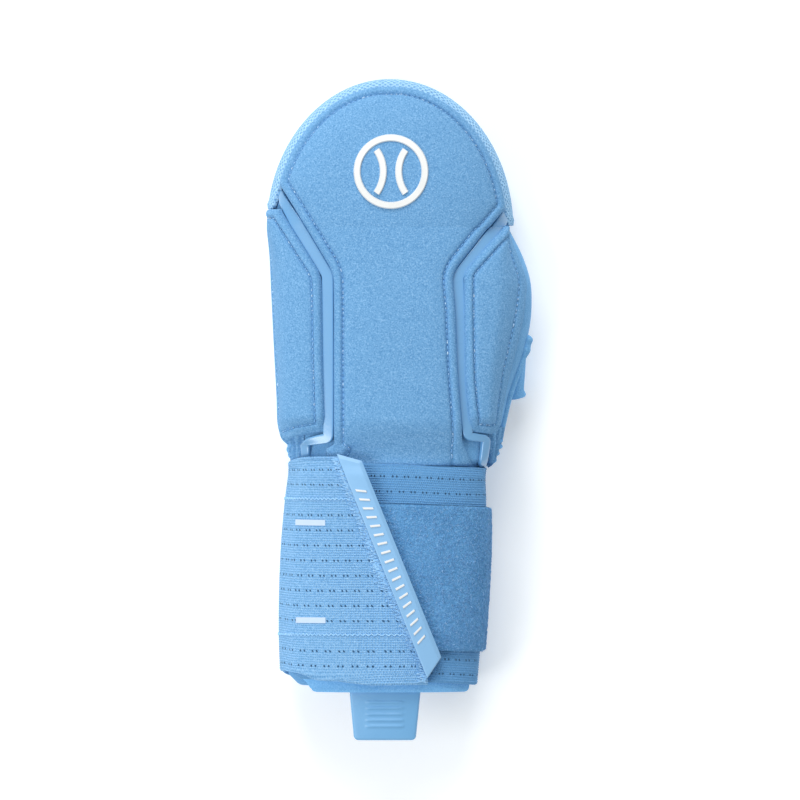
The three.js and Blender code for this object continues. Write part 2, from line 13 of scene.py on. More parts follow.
import bmesh
import bpy
import numpy as np
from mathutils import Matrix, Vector


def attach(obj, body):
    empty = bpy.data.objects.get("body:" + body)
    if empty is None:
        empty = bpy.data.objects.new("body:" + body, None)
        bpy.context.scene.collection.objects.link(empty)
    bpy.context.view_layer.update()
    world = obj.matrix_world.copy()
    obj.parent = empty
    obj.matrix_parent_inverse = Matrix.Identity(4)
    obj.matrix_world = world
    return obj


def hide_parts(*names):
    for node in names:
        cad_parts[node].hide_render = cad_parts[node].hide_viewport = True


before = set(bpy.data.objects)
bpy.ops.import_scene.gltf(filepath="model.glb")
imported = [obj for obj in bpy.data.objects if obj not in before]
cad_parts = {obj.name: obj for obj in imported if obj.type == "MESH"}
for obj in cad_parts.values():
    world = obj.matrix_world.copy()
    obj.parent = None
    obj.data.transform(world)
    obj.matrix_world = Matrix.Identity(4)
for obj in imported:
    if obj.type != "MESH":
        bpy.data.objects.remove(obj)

Array = np.ndarray
Number = Union[float, Array]
Span = tuple[float, float]
Row = tuple[float, ...]
Place = tuple[float, float, float]
Colour = tuple[float, float, float]
Piece = bpy.types.Object
Tree = bpy.types.NodeTree
Node = bpy.types.Node
Socket = bpy.types.NodeSocket
Sockets = bpy.types.bpy_prop_collection
Feed = Union[Socket, float, Colour]

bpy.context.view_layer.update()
MM = 0.001
TURN = 2 * math.pi
UP = np.array([0.0, 0.0, 1.0])
TINY = 1e-9
MERGE_M = 1e-6
log = logging.getLogger("sliding_mitt")


class Slot(Enum):
    """The record's material slots."""

    NEOPRENE = "neoprene"
    MESH_CLOTH = "mesh_cloth"
    KNIT = "knit"
    MOULDED = "moulded"
    ELASTIC = "elastic"
    PILE = "pile"
    WHITE_MARK = "white_mark"


class Hand(Enum):
    """The two sides of the back panel."""

    OUTER = "outer"
    THUMB = "thumb"


# Sums on whole arrays

# Waves of the soft unevenness: turns across and along, length and start
WAVES = ((1.0, 0.35, 1.0, 0.4), (-0.45, 0.8, 1.37, 1.9), (0.6, 0.9, 0.71, 4.1))


def lerp(start: Number, end: Number, t: Number) -> Number:
    """Straight blend from start to end."""
    return start + (end - start) * t


def smoothstep(value: Number, low: float, high: float) -> Number:
    """Ease from 0 at low to 1 at high, level at both ends."""
    t = np.clip((value - low) / (high - low), 0, 1)
    return t * t * (3 - 2 * t)


def bell(value: Number, width: float) -> Number:
    """Bell curve that is 1 at 0 and falls off within a width."""
    return np.exp(-((value / width) ** 2))


def rounded(distance: Number, radius: float) -> Number:
    """Quarter-circle rise from 0 at an edge to 1 at radius from it."""
    t = np.clip(1 - distance / radius, 0, 1)
    return np.sqrt(1 - t * t)


def signed_power(value: Number, exponent: Number) -> Array:
    """Power of the size of a value, with the value's sign."""
    return np.sign(value) * np.abs(value) ** exponent


def unit(vectors: Array) -> Array:
    """Vectors brought to length 1."""
    return vectors / np.maximum(np.linalg.norm(vectors, axis=-1, keepdims=True), TINY)


def beside(*parts: Number) -> Array:
    """Parts spread to one shape and set side by side along a new last axis."""
    return np.stack(np.broadcast_arrays(*parts), axis=-1).astype(float)


def crowded(count: int, share: float = 1.0) -> Array:
    """Values from 0 to 1, drawn by a share from even steps to half a cosine wave, closer at both ends."""
    even = np.linspace(0, 1, count)
    return lerp(even, 0.5 - 0.5 * np.cos(math.pi * even), share)


def ripple(x: Array, y: Array, size: float) -> Array:
    """Soft unevenness from -1 to 1: three crossed waves of about the given size."""
    return np.mean([np.sin(TURN * (a * x + b * y) / (c * size) + d) for a, b, c, d in WAVES], axis=0)


def path_lengths(path: Array) -> Array:
    """Length along a line up to each of its points."""
    return np.concatenate([[0], np.cumsum(np.linalg.norm(np.diff(path, axis=0), axis=1))])


def read_path(where: Array, marks: Array, path: Array) -> Array:
    """Places read straight between the points of a line, which stand at the marks."""
    return np.stack([np.interp(where, marks, column) for column in path.T], axis=-1)


class Course:
    """A table column read smoothly: cubic pieces whose slope at a row is the mean of its two chords."""

    def __init__(self, at: Sequence[float], values: Sequence[float]) -> None:
        """Keep the rows and their slopes; an end row takes the slope of its one chord.

        Args:
            at: place of each row.
            values: value at each row.
        """
        self.at = np.asarray(at, float)
        self.values = np.asarray(values, float)
        chords = np.diff(self.values) / np.diff(self.at)
        self.slopes = np.concatenate([chords[:1], (chords[1:] + chords[:-1]) / 2, chords[-1:]])

    def __call__(self, where: Number) -> Array:
        """Read the column, held constant outside the table.

        Args:
            where: places to read at.

        Returns:
            The value at each place.
        """
        place = np.clip(where, self.at[0], self.at[-1])
        row = np.clip(np.searchsorted(self.at, place, side="right") - 1, 0, len(self.at) - 2)
        step = self.at[row + 1] - self.at[row]
        t = (place - self.at[row]) / step
        lift = step * t * (1 - t) * (self.slopes[row] * (1 - t) - self.slopes[row + 1] * t)
        return lerp(self.values[row], self.values[row + 1], t * t * (3 - 2 * t)) + lift


class SoftEdge:
    """A table column read along straight lines whose corners are rounded by averaging nine readings."""

    def __init__(self, at: Sequence[float], values: Sequence[float], reach: float = 4.0) -> None:
        """Keep the rows and how far to each side a reading is averaged.

        Args:
            at: place of each row.
            values: value at each row.
            reach: how far to each side the readings spread.
        """
        self.at = at
        self.values = values
        self.offsets = np.linspace(-reach, reach, 9)

    def __call__(self, where: Array) -> Array:
        """Mean of the straight readings around each place."""
        return np.mean([np.interp(where + offset, self.at, self.values) for offset in self.offsets], axis=0)


# The skin that every piece sits on

@dataclass(frozen=True)
class Section:
    """One section of the hand part and wrist: its side edges, top, waist and floor."""

    y: float
    left: float
    right: float
    top: float
    waist: float
    floor: float


SECTIONS = (
    Section(-127.0, -46.2, 33.0, 45.0, 23.0, 2.5),
    Section(-124.4, -48.0, 33.2, 45.0, 23.0, 2.5),
    Section(-122.6, -49.6, 33.3, 45.0, 23.0, 2.5),
    Section(-120.8, -51.8, 33.5, 45.0, 23.0, 2.5),
    Section(-119.4, -52.2, 33.6, 45.0, 23.0, 2.5),
    Section(-117.0, -52.3, 33.8, 45.0, 23.0, 2.5),
    Section(-100.0, -52.8, 35.2, 45.0, 23.0, 2.5),
    Section(-64.0, -51.9, 37.2, 44.5, 23.0, 2.5),
    Section(-42.0, -50.0, 37.2, 44.0, 23.0, 2.5),
    Section(-27.0, -48.3, 37.4, 43.5, 23.0, 2.5),
    Section(-25.8, -48.4, 37.9, 43.4, 23.0, 2.5),
    Section(-24.6, -48.6, 40.2, 43.4, 23.0, 2.5),
    Section(-23.2, -48.9, 41.8, 43.3, 22.8, 2.1),
    Section(-20.0, -49.5, 43.0, 43.2, 22.6, 1.2),
    Section(-15.4, -50.4, 44.6, 43.1, 22.2, 0.4),
    Section(-12.4, -53.5, 45.5, 43.0, 22.0, 0.0),
    Section(-10.0, -53.9, 46.0, 43.0, 22.0, 0.0),
    Section(6.0, -54.6, 49.8, 42.6, 22.0, 0.0),
    Section(30.0, -55.9, 57.8, 41.6, 20.0, 0.0),
    Section(54.0, -57.1, 60.4, 40.2, 17.5, 0.0),
    Section(70.0, -57.9, 56.4, 38.8, 16.0, 0.0),
    Section(82.6, -59.2, 50.0, 37.4, 15.0, 0.0),
)


@dataclass(frozen=True)
class Body:
    """The skin of the hand part and wrist: flattened ovals along Y, closed by a round nose."""

    nose_x: float = -4.6
    nose_y: float = 82.6
    nose_reach: float = 66.8
    round_over: float = 2.3
    round_under: float = 3.2
    settle: float = 0.8
    side_limit: float = 0.9999
    turn_step: float = 0.02
    way_step: float = 0.2

    def column(self, name: str, y: Number) -> Array:
        """One column of the section table at each station."""
        course = Course([row.y for row in SECTIONS], [getattr(row, name) for row in SECTIONS])
        return course(np.minimum(y, self.nose_y))

    def spans(self, y: Number, inset: Number = 0.0) -> tuple[Array, ...]:
        """Measure each section; the nose shrinks it by the round of an ellipse that is nose_reach long.

        Args:
            y: stations.
            inset: distance inside the skin.

        Returns:
            Middle, half width, rise over and drop under the waist, waist and floor.
        """
        along = np.clip((y - self.nose_y) / (self.nose_reach - inset), 0, 1)
        shrink = np.sqrt(1 - along * along)
        left, right, top, waist = (self.column(name, y) for name in ("left", "right", "top", "waist"))
        floor = np.maximum(0, self.column("floor", y))
        half = ((right - left) / 2 - inset) * shrink
        rise = (top - waist - inset) * shrink
        drop = (waist - floor + self.settle - inset) * shrink
        return (left + right) / 2, half, rise, drop, waist, floor + inset

    def point(self, angle: Number, y: Number, inset: Number = 0.0) -> Array:
        """Find places on the skin: a superellipse of one power over the waist and another under it.

        Args:
            angle: angle round the section.
            y: station.
            inset: distance inside the skin.

        Returns:
            The places.
        """
        middle, half, rise, drop, waist, floor = self.spans(y, inset)
        cosine, sine = np.cos(angle), np.sin(angle)
        power = np.where(sine >= 0, 2 / self.round_over, 2 / self.round_under)
        x = middle + half * signed_power(cosine, power)
        z = np.maximum(waist + np.where(sine >= 0, rise, drop) * signed_power(sine, power), floor)
        return beside(x, y, z)

    def normal(self, angle: Number, y: Number) -> Array:
        """Outward direction: the step along Y crossed with the step round the section.

        Args:
            angle: angle round the section.
            y: station.

        Returns:
            Unit directions.
        """
        turn = self.point(angle + self.turn_step, y) - self.point(angle - self.turn_step, y)
        way = self.point(angle, y + self.way_step) - self.point(angle, y - self.way_step)
        return unit(np.cross(way, turn))

    def off(self, angle: Number, y: Number, distance: Number) -> Array:
        """Place at a distance outside the skin."""
        return self.point(angle, y) + np.asarray(distance, float)[..., None] * self.normal(angle, y)

    def angle_at(self, x: Number, y: Number) -> Array:
        """Angle on the upper skin under a place in plan: the superellipse solved for its cosine.

        Args:
            x: X of the place.
            y: station.

        Returns:
            Angles from 0 to half a turn.
        """
        middle, half = self.spans(y)[:2]
        ratio = np.clip((x - middle) / half, -self.side_limit, self.side_limit)
        return np.arccos(signed_power(ratio, self.round_over / 2))

    def back_height(self, x: Number, y: Number, distance: Number) -> Array:
        """Height of the upper skin grown by a distance: the superellipse solved for its height.

        Args:
            x: X of the place.
            y: station.
            distance: how far the skin is grown.

        Returns:
            Heights.
        """
        middle, half, rise, _, waist, _ = self.spans(y, -np.asarray(distance, float))
        ratio = np.clip(np.abs(x - middle) / half, 0, 1)
        return waist + rise * (1 - ratio**self.round_over) ** (1 / self.round_over)

    def back_normal(self, places: Array) -> Array:
        """Outward direction of the upper skin under places on or over it."""
        return self.normal(self.angle_at(places[..., 0], places[..., 1]), places[..., 1])


BODY = Body()


@dataclass(frozen=True)
class Layers:
    """Thicknesses and gaps of the layers, from the skin outwards."""

    gap: float = 0.3
    layer_gap: float = 0.7
    wall: float = 3.5
    cap_gap: float = 0.9
    cap: float = 1.2
    flap: float = 2.0
    flap_gap: float = 0.4
    strap: float = 2.0
    strap_gap: float = 0.5
    patch: float = 1.7
    bar: float = 3.2
    tab: float = 2.6
    emblem: float = 1.2
    stall: float = 1.4
    wrist_seam: float = -27.0
    cuff_end: float = -126.4

    @property
    def panel_seat(self) -> float:
        """Height of the panels' undersides over the skin: clear of the toe cap under them."""
        return self.cap_gap + self.cap + 2 * self.gap


LAYERS = Layers()


# Meshes

@dataclass
class Surface:
    """Points, four-cornered faces and map places of a mesh."""

    points: Array
    faces: Array
    places: Optional[Array] = None

    def outward(self) -> "Surface":
        """Turn the faces of a closed surface so that it holds a positive volume.

        Returns:
            The surface with its faces outward.
        """
        corner = self.points[self.faces]
        halves = np.cross(corner[:, 1], corner[:, 2]) + np.cross(corner[:, 2], corner[:, 3])
        if np.einsum("ij,ij->", corner[:, 0], halves) < 0:
            return Surface(self.points, self.faces[:, ::-1], self.places)
        return self


def joined(surfaces: Sequence[Surface]) -> Surface:
    """Join surfaces into one, with map places where each of them has some.

    Args:
        surfaces: the surfaces.

    Returns:
        One surface.
    """
    starts = np.cumsum([0] + [len(surface.points) for surface in surfaces[:-1]])
    faces = np.concatenate([surface.faces + start for surface, start in zip(surfaces, starts)])
    points = np.concatenate([surface.points for surface in surfaces])
    if any(surface.places is None for surface in surfaces):
        return Surface(points, faces)
    return Surface(points, faces, np.concatenate([surface.places for surface in surfaces]))


def grid_faces(rows: int, columns: int, ring: bool = False) -> Array:
    """Faces between neighbouring grid points, row after row.

    Args:
        rows: number of rows of points.
        columns: number of points in a row.
        ring: whether the last point of a row meets the first.

    Returns:
        Four point numbers for each face.
    """
    numbers = np.arange(rows * columns).reshape(rows, columns)
    if ring:
        numbers = np.concatenate([numbers, numbers[:, :1]], axis=1)
    corners = (numbers[:-1, :-1], numbers[1:, :-1], numbers[1:, 1:], numbers[:-1, 1:])
    return np.stack(corners, axis=-1).reshape(-1, 4)


def slab(under: Array, over: Array, places: Optional[Array] = None) -> Surface:
    """A closed sheet between two grids of points, with a rim of faces round its edge.

    Args:
        under: grid of the lower face.
        over: grid of the upper face.
        places: map place of each grid point, shared by both faces.

    Returns:
        The closed surface, faces outward.
    """
    rows, columns = over.shape[:2]
    count = rows * columns
    faces = grid_faces(rows, columns)
    numbers = np.arange(count).reshape(rows, columns)
    rim = np.concatenate([numbers[:-1, 0], numbers[-1, :-1], numbers[:0:-1, -1], numbers[0, :0:-1]])
    following = np.roll(rim, -1)
    wall = np.stack([following, following + count, rim + count, rim], axis=-1)
    points = np.concatenate([over.reshape(-1, 3), under.reshape(-1, 3)])
    flat = None if places is None else np.tile(places.reshape(-1, 2), (2, 1))
    return Surface(points, np.concatenate([faces, faces[:, ::-1] + count, wall]), flat).outward()


def laid(angle: Array, y: Array, low: Number, high: Number, places: Optional[Array] = None) -> Surface:
    """A closed sheet over the skin between two distances from it."""
    return slab(BODY.off(angle, y, low), BODY.off(angle, y, high), places)


def plate(x: Array, y: Array, low: Array, high: Array) -> Surface:
    """A closed sheet between two heights over a grid in plan."""
    return slab(beside(x, y, low), beside(x, y, high))


def rings(points: Array, places: Optional[Array] = None) -> Surface:
    """A surface through rings of points; a ring drawn in to one point closes an end."""
    flat = None if places is None else places.reshape(-1, 2)
    return Surface(points.reshape(-1, 3), grid_faces(*points.shape[:2], ring=True), flat).outward()


def tube(points: Array) -> Surface:
    """A surface through rings of points, drawn in to the middle of the first and the last ring."""
    middles = np.broadcast_to(points[[0, -1]].mean(axis=1, keepdims=True), points[:2].shape)
    return rings(np.concatenate([middles[:1], points, middles[1:]]))


def roll(path: Array, radius: Number, sides: int, up: Array = UP) -> Surface:
    """A round profile carried along a path and drawn in to a point at both ends.

    Args:
        path: points of the middle line.
        radius: radius at each point, or one for all.
        sides: number of points round the profile.
        up: direction that the profile's top faces, at each point or one for all.

    Returns:
        The closed surface.
    """
    way = unit(np.gradient(path, axis=0))
    across = unit(np.cross(up, way))
    top = np.cross(way, across)
    turn = np.linspace(0, TURN, sides, endpoint=False)[:, None]
    size = np.broadcast_to(np.asarray(radius, float), len(path))[:, None, None]
    return tube(path[:, None] + size * (across[:, None] * np.cos(turn) + top[:, None] * np.sin(turn)))


def bevelled(flat: float, top: float, shoulder: float, foot: float) -> tuple[Array, Array]:
    """Profile of a low ridge with a flat top: places across from -1 to 1, and their heights."""
    across = np.array([-1.0, -1.0, -flat, 0.0, flat, 1.0, 1.0])
    return across, np.array([foot, shoulder, top, top, top, shoulder, foot])


def scatter(shape: Surface, origins: Array, ways: Array, ups: Array) -> Surface:
    """Copies of one small shape, each turned so that its X runs along a way and its Z up.

    Args:
        shape: the shape, around its own origin.
        origins: place of each copy.
        ways: direction of each copy's X.
        ups: direction of each copy's Z.

    Returns:
        All copies as one surface.
    """
    across = unit(np.cross(ups, ways))
    axes = np.stack([ways, across, np.cross(ways, across)], axis=1)
    points = origins[:, None] + np.einsum("pk,nkc->npc", shape.points, axes)
    starts = np.arange(len(origins)) * len(shape.points)
    faces = shape.faces[None] + starts[:, None, None]
    return Surface(points.reshape(-1, 3), faces.reshape(-1, 4))


def along_line(path: Array, pitch: float, start: float = 0.0) -> tuple[Array, Array]:
    """Places at even steps along a line, and the line's direction there.

    Args:
        path: points of the line.
        pitch: length of a step.
        start: length before the first place.

    Returns:
        Places and unit directions.
    """
    lengths = path_lengths(path)
    stops = np.arange(start, lengths[-1], pitch)
    ahead = read_path(stops + pitch / 4, lengths, path)
    behind = read_path(stops - pitch / 4, lengths, path)
    return read_path(stops, lengths, path), unit(ahead - behind)


def rounded_legs(corners: Array, count: int) -> Array:
    """Cut a zigzag line into steps and round its corners by averaging three neighbours.

    Args:
        corners: the zigzag's corners.
        count: number of steps a leg.

    Returns:
        Points of the rounded line.
    """
    line = read_path(np.arange(0, len(corners) - 1, 1 / count), np.arange(len(corners)), corners)
    middle = (line[:-2] + line[1:-1] + line[2:]) / 3
    return np.concatenate([line[:1], middle, line[-1:]])


@dataclass(frozen=True)
class Stitch:
    """One stitch: a thread arched up in the middle and dipping into the cloth, in its own radii."""

    length: float
    radius: float
    rows: int = 6
    sides: int = 5
    rise: float = 0.9
    dip: float = 1.9
    full: float = 1.1
    taper: float = 0.35

    def shape(self) -> Surface:
        """The stitch along X: its height and thickness fall off with the square of the way out.

        Returns:
            The closed surface, around its own origin.
        """
        t = np.linspace(-1, 1, self.rows)
        path = beside(self.length / 2 * t, 0, self.radius * (self.rise - self.dip * t * t))
        return roll(path, self.radius * (self.full - self.taper * t * t), self.sides)


def put(name: str, surface: Surface, finish: "Finish", sharp: float = 50.0) -> Piece:
    """Put a surface into a new smooth-shaded object at the origin.

    Args:
        name: name of the piece.
        surface: its points in millimetres, faces and map places.
        finish: its finish.
        sharp: edges that turn by more degrees than this stay crisp.

    Returns:
        The object, linked to the scene.
    """
    mesh = bpy.data.meshes.new(name)
    faces = surface.faces.astype(np.int32)
    mesh.vertices.add(len(surface.points))
    mesh.vertices.foreach_set("co", (surface.points * MM).astype(np.float32).ravel())
    mesh.loops.add(faces.size)
    mesh.loops.foreach_set("vertex_index", faces.ravel())
    mesh.polygons.add(len(faces))
    mesh.polygons.foreach_set("loop_start", np.arange(0, faces.size, 4, dtype=np.int32))
    mesh.update(calc_edges=True)
    if surface.places is not None:
        layer = mesh.uv_layers.new(name="places")
        layer.data.foreach_set("uv", (surface.places[faces.ravel()] * MM).astype(np.float32).ravel())
    shaping = bmesh.new()
    shaping.from_mesh(mesh)
    bmesh.ops.remove_doubles(shaping, verts=shaping.verts, dist=MERGE_M)
    shaping.to_mesh(mesh)
    shaping.free()
    mesh.polygons.foreach_set("use_smooth", np.ones(len(mesh.polygons), bool))
    mesh.set_sharp_from_angle(angle=math.radians(sharp))
    mesh.materials.append(finish.material())
    piece = bpy.data.objects.new(name, mesh)
    bpy.context.scene.collection.objects.link(piece)
    return piece


def settle(piece: Piece, slot: Slot, *nodes: str) -> Piece:
    """Ride a piece on the one body and hide the frame nodes that it stands for.

    Args:
        piece: the piece.
        slot: its material slot; not used.
        nodes: frame nodes that it replaces.

    Returns:
        The piece.
    """
    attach(piece, "root")
    if nodes:
        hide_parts(*nodes)
    log.info("%s: %d faces", piece.name, len(piece.data.polygons))
    return piece


# Finishes

# Brushed fibres: noise detail, and the noise values between which glints, pits and blotches come up
FIBRE_DETAIL = 3.0
GLINT_RAMP = (0.51, 0.68)
PIT_RAMP = (0.49, 0.33)
BLOTCH_RAMP = (0.3, 0.7)
COARSE_HEIGHT = 0.5

# Eyelets: where a hole fades in, in radii, and how much its height counts against its width
EYELET_RAMP = (1.35, 0.7)
EYELET_HEIGHT = 0.6


class NodeKit:
    """Short calls that add nodes to one tree."""

    def __init__(self, tree: Tree) -> None:
        """Keep the tree."""
        self.tree = tree

    def node(self, kind: str, **settings: object) -> Node:
        """Add a node with its settings made.

        Args:
            kind: type name of the node.
            settings: values of its properties.

        Returns:
            The node.
        """
        made = self.tree.nodes.new(kind)
        for name, value in settings.items():
            setattr(made, name, value)
        return made

    def feed(self, socket: Socket, value: Feed) -> None:
        """Link a socket to another, or set it to a plain value or colour.

        Args:
            socket: the input.
            value: what it takes.
        """
        if isinstance(value, Socket):
            self.tree.links.new(value, socket)
        else:
            socket.default_value = (*value, 1.0) if isinstance(value, tuple) else value

    def fed(self, made: Node, values: dict[str, Feed]) -> Node:
        """Feed several inputs of a node.

        Args:
            made: the node.
            values: what each named input takes.

        Returns:
            The node.
        """
        for name, value in values.items():
            self.feed(made.inputs[name], value)
        return made

    def math(self, operation: str, *values: Feed) -> Socket:
        """Work out one sum.

        Args:
            operation: name of the sum.
            values: what it takes.

        Returns:
            The result.
        """
        made = self.node("ShaderNodeMath", operation=operation)
        for socket, value in zip(made.inputs, values):
            self.feed(socket, value)
        return made.outputs[0]

    def ramp(self, value: Feed, low: Feed, high: Feed) -> Socket:
        """Ease from 0 at low to 1 at high."""
        made = self.node("ShaderNodeMapRange", interpolation_type="SMOOTHSTEP")
        return self.fed(made, {"Value": value, "From Min": low, "From Max": high}).outputs["Result"]

    def mix(self, factor: Feed, first: Feed, second: Feed) -> Socket:
        """Blend two colours.

        Args:
            factor: share of the second.
            first: colour at 0.
            second: colour at 1.

        Returns:
            The blend.
        """
        made = self.node("ShaderNodeMix", data_type="RGBA")
        for number, value in ((0, factor), (6, first), (7, second)):
            self.feed(made.inputs[number], value)
        return made.outputs[2]

    def blend(self, mask: Socket, share: float, first: Feed, second: Feed) -> Socket:
        """Blend of two colours by a share of a mask."""
        return self.mix(self.math("MULTIPLY", mask, share), first, second)

    def noise(self, vector: Socket, scale: Feed, detail: float = 2.0) -> Socket:
        """Cloudy values around one half."""
        made = self.node("ShaderNodeTexNoise")
        return self.fed(made, {"Vector": vector, "Scale": scale, "Detail": detail}).outputs["Fac"]

    def group(self, tree: Tree, values: dict[str, Feed]) -> Sockets:
        """Outputs of a node group with its inputs fed."""
        return self.fed(self.node("ShaderNodeGroup", node_tree=tree), values).outputs

    def place(self) -> Socket:
        """Place on the object."""
        return self.node("ShaderNodeTexCoord").outputs["Object"]

    def map_place(self) -> tuple[Socket, Socket]:
        """Read the piece's own map.

        Returns:
            Its two numbers.
        """
        split = self.node("ShaderNodeSeparateXYZ")
        self.feed(split.inputs[0], self.node("ShaderNodeTexCoord").outputs["UV"])
        return split.outputs[0], split.outputs[1]

    def bump(self, height: Socket, distance: float, strength: float) -> Socket:
        """Surface direction bent by a height."""
        values = {"Height": height, "Distance": distance, "Strength": strength}
        return self.fed(self.node("ShaderNodeBump"), values).outputs["Normal"]


def new_group(name: str, inputs: dict[str, str], outputs: Sequence[str]) -> tuple[NodeKit, dict, Node]:
    """A new shader group.

    Args:
        name: its name.
        inputs: socket kind of each named input.
        outputs: names of its number outputs.

    Returns:
        A kit for its tree, its input sockets by name, and its output node.
    """
    tree = bpy.data.node_groups.new(name, "ShaderNodeTree")
    for socket, kind in inputs.items():
        tree.interface.new_socket(socket, in_out="INPUT", socket_type=kind)
    for socket in outputs:
        tree.interface.new_socket(socket, in_out="OUTPUT", socket_type="NodeSocketFloat")
    kit = NodeKit(tree)
    source = kit.node("NodeGroupInput")
    return kit, {socket: source.outputs[socket] for socket in inputs}, kit.node("NodeGroupOutput")


def fibre_group() -> Tree:
    """Brushed fibres: fine noise gives glints and pits, coarse noise soft blotches, and both the height.

    Returns:
        The group, made once.
    """
    made = bpy.data.node_groups.get("brushed_fibres")
    if made:
        return made
    inputs = {"Vector": "NodeSocketVector", "Fine": "NodeSocketFloat", "Coarse": "NodeSocketFloat"}
    kit, given, sink = new_group("brushed_fibres", inputs, ("Glint", "Pit", "Blotch", "Height"))
    fine, coarse = (kit.noise(given["Vector"], given[name], FIBRE_DETAIL) for name in ("Fine", "Coarse"))
    kit.fed(sink, {
        "Glint": kit.ramp(fine, *GLINT_RAMP),
        "Pit": kit.ramp(fine, *PIT_RAMP),
        "Blotch": kit.ramp(coarse, *BLOTCH_RAMP),
        "Height": kit.math("MULTIPLY_ADD", coarse, COARSE_HEIGHT, fine),
    })
    return kit.tree


def eyelet_group() -> Tree:
    """Rows of paired eyelets: distance to the nearer hole of a cell, every other row half a cell on.

    Returns:
        The group.
    """
    names = ("Along", "Across", "First row", "Row pitch", "Pair pitch", "Pair gap", "Radius")
    kit, given, sink = new_group("eyelet_rows", dict.fromkeys(names, "NodeSocketFloat"), ("Hole", "Row"))
    below = kit.math("SUBTRACT", given["Across"], given["First row"])
    row = kit.math("DIVIDE", below, given["Row pitch"])
    number = kit.math("ROUND", row)
    down = kit.math("MULTIPLY", kit.math("SUBTRACT", row, number), given["Row pitch"])
    shift = kit.math("MULTIPLY", kit.math("MODULO", number, 2.0), 0.5)
    cell = kit.math("ADD", kit.math("DIVIDE", given["Along"], given["Pair pitch"]), shift)
    aside = kit.math("MULTIPLY", kit.math("SUBTRACT", cell, kit.math("ROUND", cell)), given["Pair pitch"])
    apart = kit.math("MULTIPLY_ADD", given["Pair gap"], -0.5, kit.math("ABSOLUTE", aside))
    weighed = kit.math("MULTIPLY", down, EYELET_HEIGHT)
    squares = kit.math("MULTIPLY_ADD", down, weighed, kit.math("MULTIPLY", apart, apart))
    outer, inner = (kit.math("MULTIPLY", given["Radius"], share) for share in EYELET_RAMP)
    kit.fed(sink, {"Hole": kit.ramp(kit.math("SQRT", squares), outer, inner), "Row": number})
    return kit.tree


@dataclass(frozen=True)
class Finish:
    """A finish that is made into a material once, under its own name."""

    name: str
    ground: Colour

    def material(self) -> bpy.types.Material:
        """Make the material, or find it where it is made already.

        Returns:
            The material.
        """
        made = bpy.data.materials.get(self.name)
        if not made:
            made = bpy.data.materials.new(self.name)
            made.use_nodes = True
            kit = NodeKit(made.node_tree)
            kit.fed(made.node_tree.nodes["Principled BSDF"], self.values(kit))
        return made

    def fibres(self, kit: NodeKit, fine: float, coarse: float) -> Sockets:
        """Outputs of the fibre group at two scales."""
        return kit.group(fibre_group(), {"Vector": kit.place(), "Fine": fine, "Coarse": coarse})

    def values(self, kit: NodeKit) -> dict[str, Feed]:
        """What the shader's inputs take; each kind of finish has its own."""
        raise NotImplementedError


@dataclass(frozen=True)
class Cloth(Finish):
    """A brushed or woven cloth: colours of its ground, pits and glints, and the size of its fibres."""

    # Dark colour of the fibre pits, and also the colour that painted shade mixes towards in rib valleys,
    # the strap's first layer and mesh cells
    pit_and_shade: Colour
    glint: Colour
    fine: float = 1500.0
    coarse: float = 160.0
    pits: float = 0.5
    glints: float = 0.4
    blotch: float = 0.25
    bump: float = 0.0004
    bump_strength: float = 0.8
    roughness: float = 0.85
    sheen: float = 0.2
    sheen_roughness: float = 0.5
    specular: float = 0.25
    glow: float = 0.0

    def flecked(self, kit: NodeKit, fibres: Sockets, colour: Feed) -> Socket:
        """A colour with the fibres' pits and glints over it."""
        pitted = kit.blend(fibres["Pit"], self.pits, colour, self.pit_and_shade)
        return kit.blend(fibres["Glint"], self.glints, pitted, self.glint)

    def paint(self, kit: NodeKit, fibres: Sockets) -> tuple[Socket, Socket]:
        """Colour and height: pits and glints over soft blotches."""
        shaded = kit.blend(fibres["Blotch"], self.blotch, self.ground, self.pit_and_shade)
        return self.flecked(kit, fibres, shaded), fibres["Height"]

    def values(self, kit: NodeKit) -> dict[str, Feed]:
        """Paint the cloth and bend its surface.

        Args:
            kit: adds the nodes.

        Returns:
            What the shader's inputs take.
        """
        colour, height = self.paint(kit, self.fibres(kit, self.fine, self.coarse))
        return {
            "Base Color": colour,
            "Normal": kit.bump(height, self.bump, self.bump_strength),
            "Roughness": self.roughness,
            "Sheen Weight": self.sheen,
            "Sheen Roughness": self.sheen_roughness,
            "Sheen Tint": self.glint,
            "Specular IOR Level": self.specular,
            "Emission Color": self.glint,
            "Emission Strength": self.glow,
        }


@dataclass(frozen=True)
class PadCloth(Cloth):
    """Cloth over foam, with painted shade along the stitched groove, which is where its map's first number
    is 0.
    """

    # Painted shade along the stitched groove: its span, share and colour
    groove: Span = (0.0007, 0.0001)
    groove_painted_shade: float = 0.55
    groove_shade_colour: Colour = (0.06, 0.2, 0.42)

    def paint(self, kit: NodeKit, fibres: Sockets) -> tuple[Socket, Socket]:
        """Paint shade into the cloth near the groove.

        Args:
            kit: adds the nodes.
            fibres: outputs of the fibre group.

        Returns:
            Colour and height.
        """
        colour, height = super().paint(kit, fibres)
        # Painted shade: the cloth darkens towards the groove's crease
        near = kit.ramp(kit.math("ABSOLUTE", kit.map_place()[0]), *self.groove)
        return kit.blend(near, self.groove_painted_shade, colour, self.groove_shade_colour), height


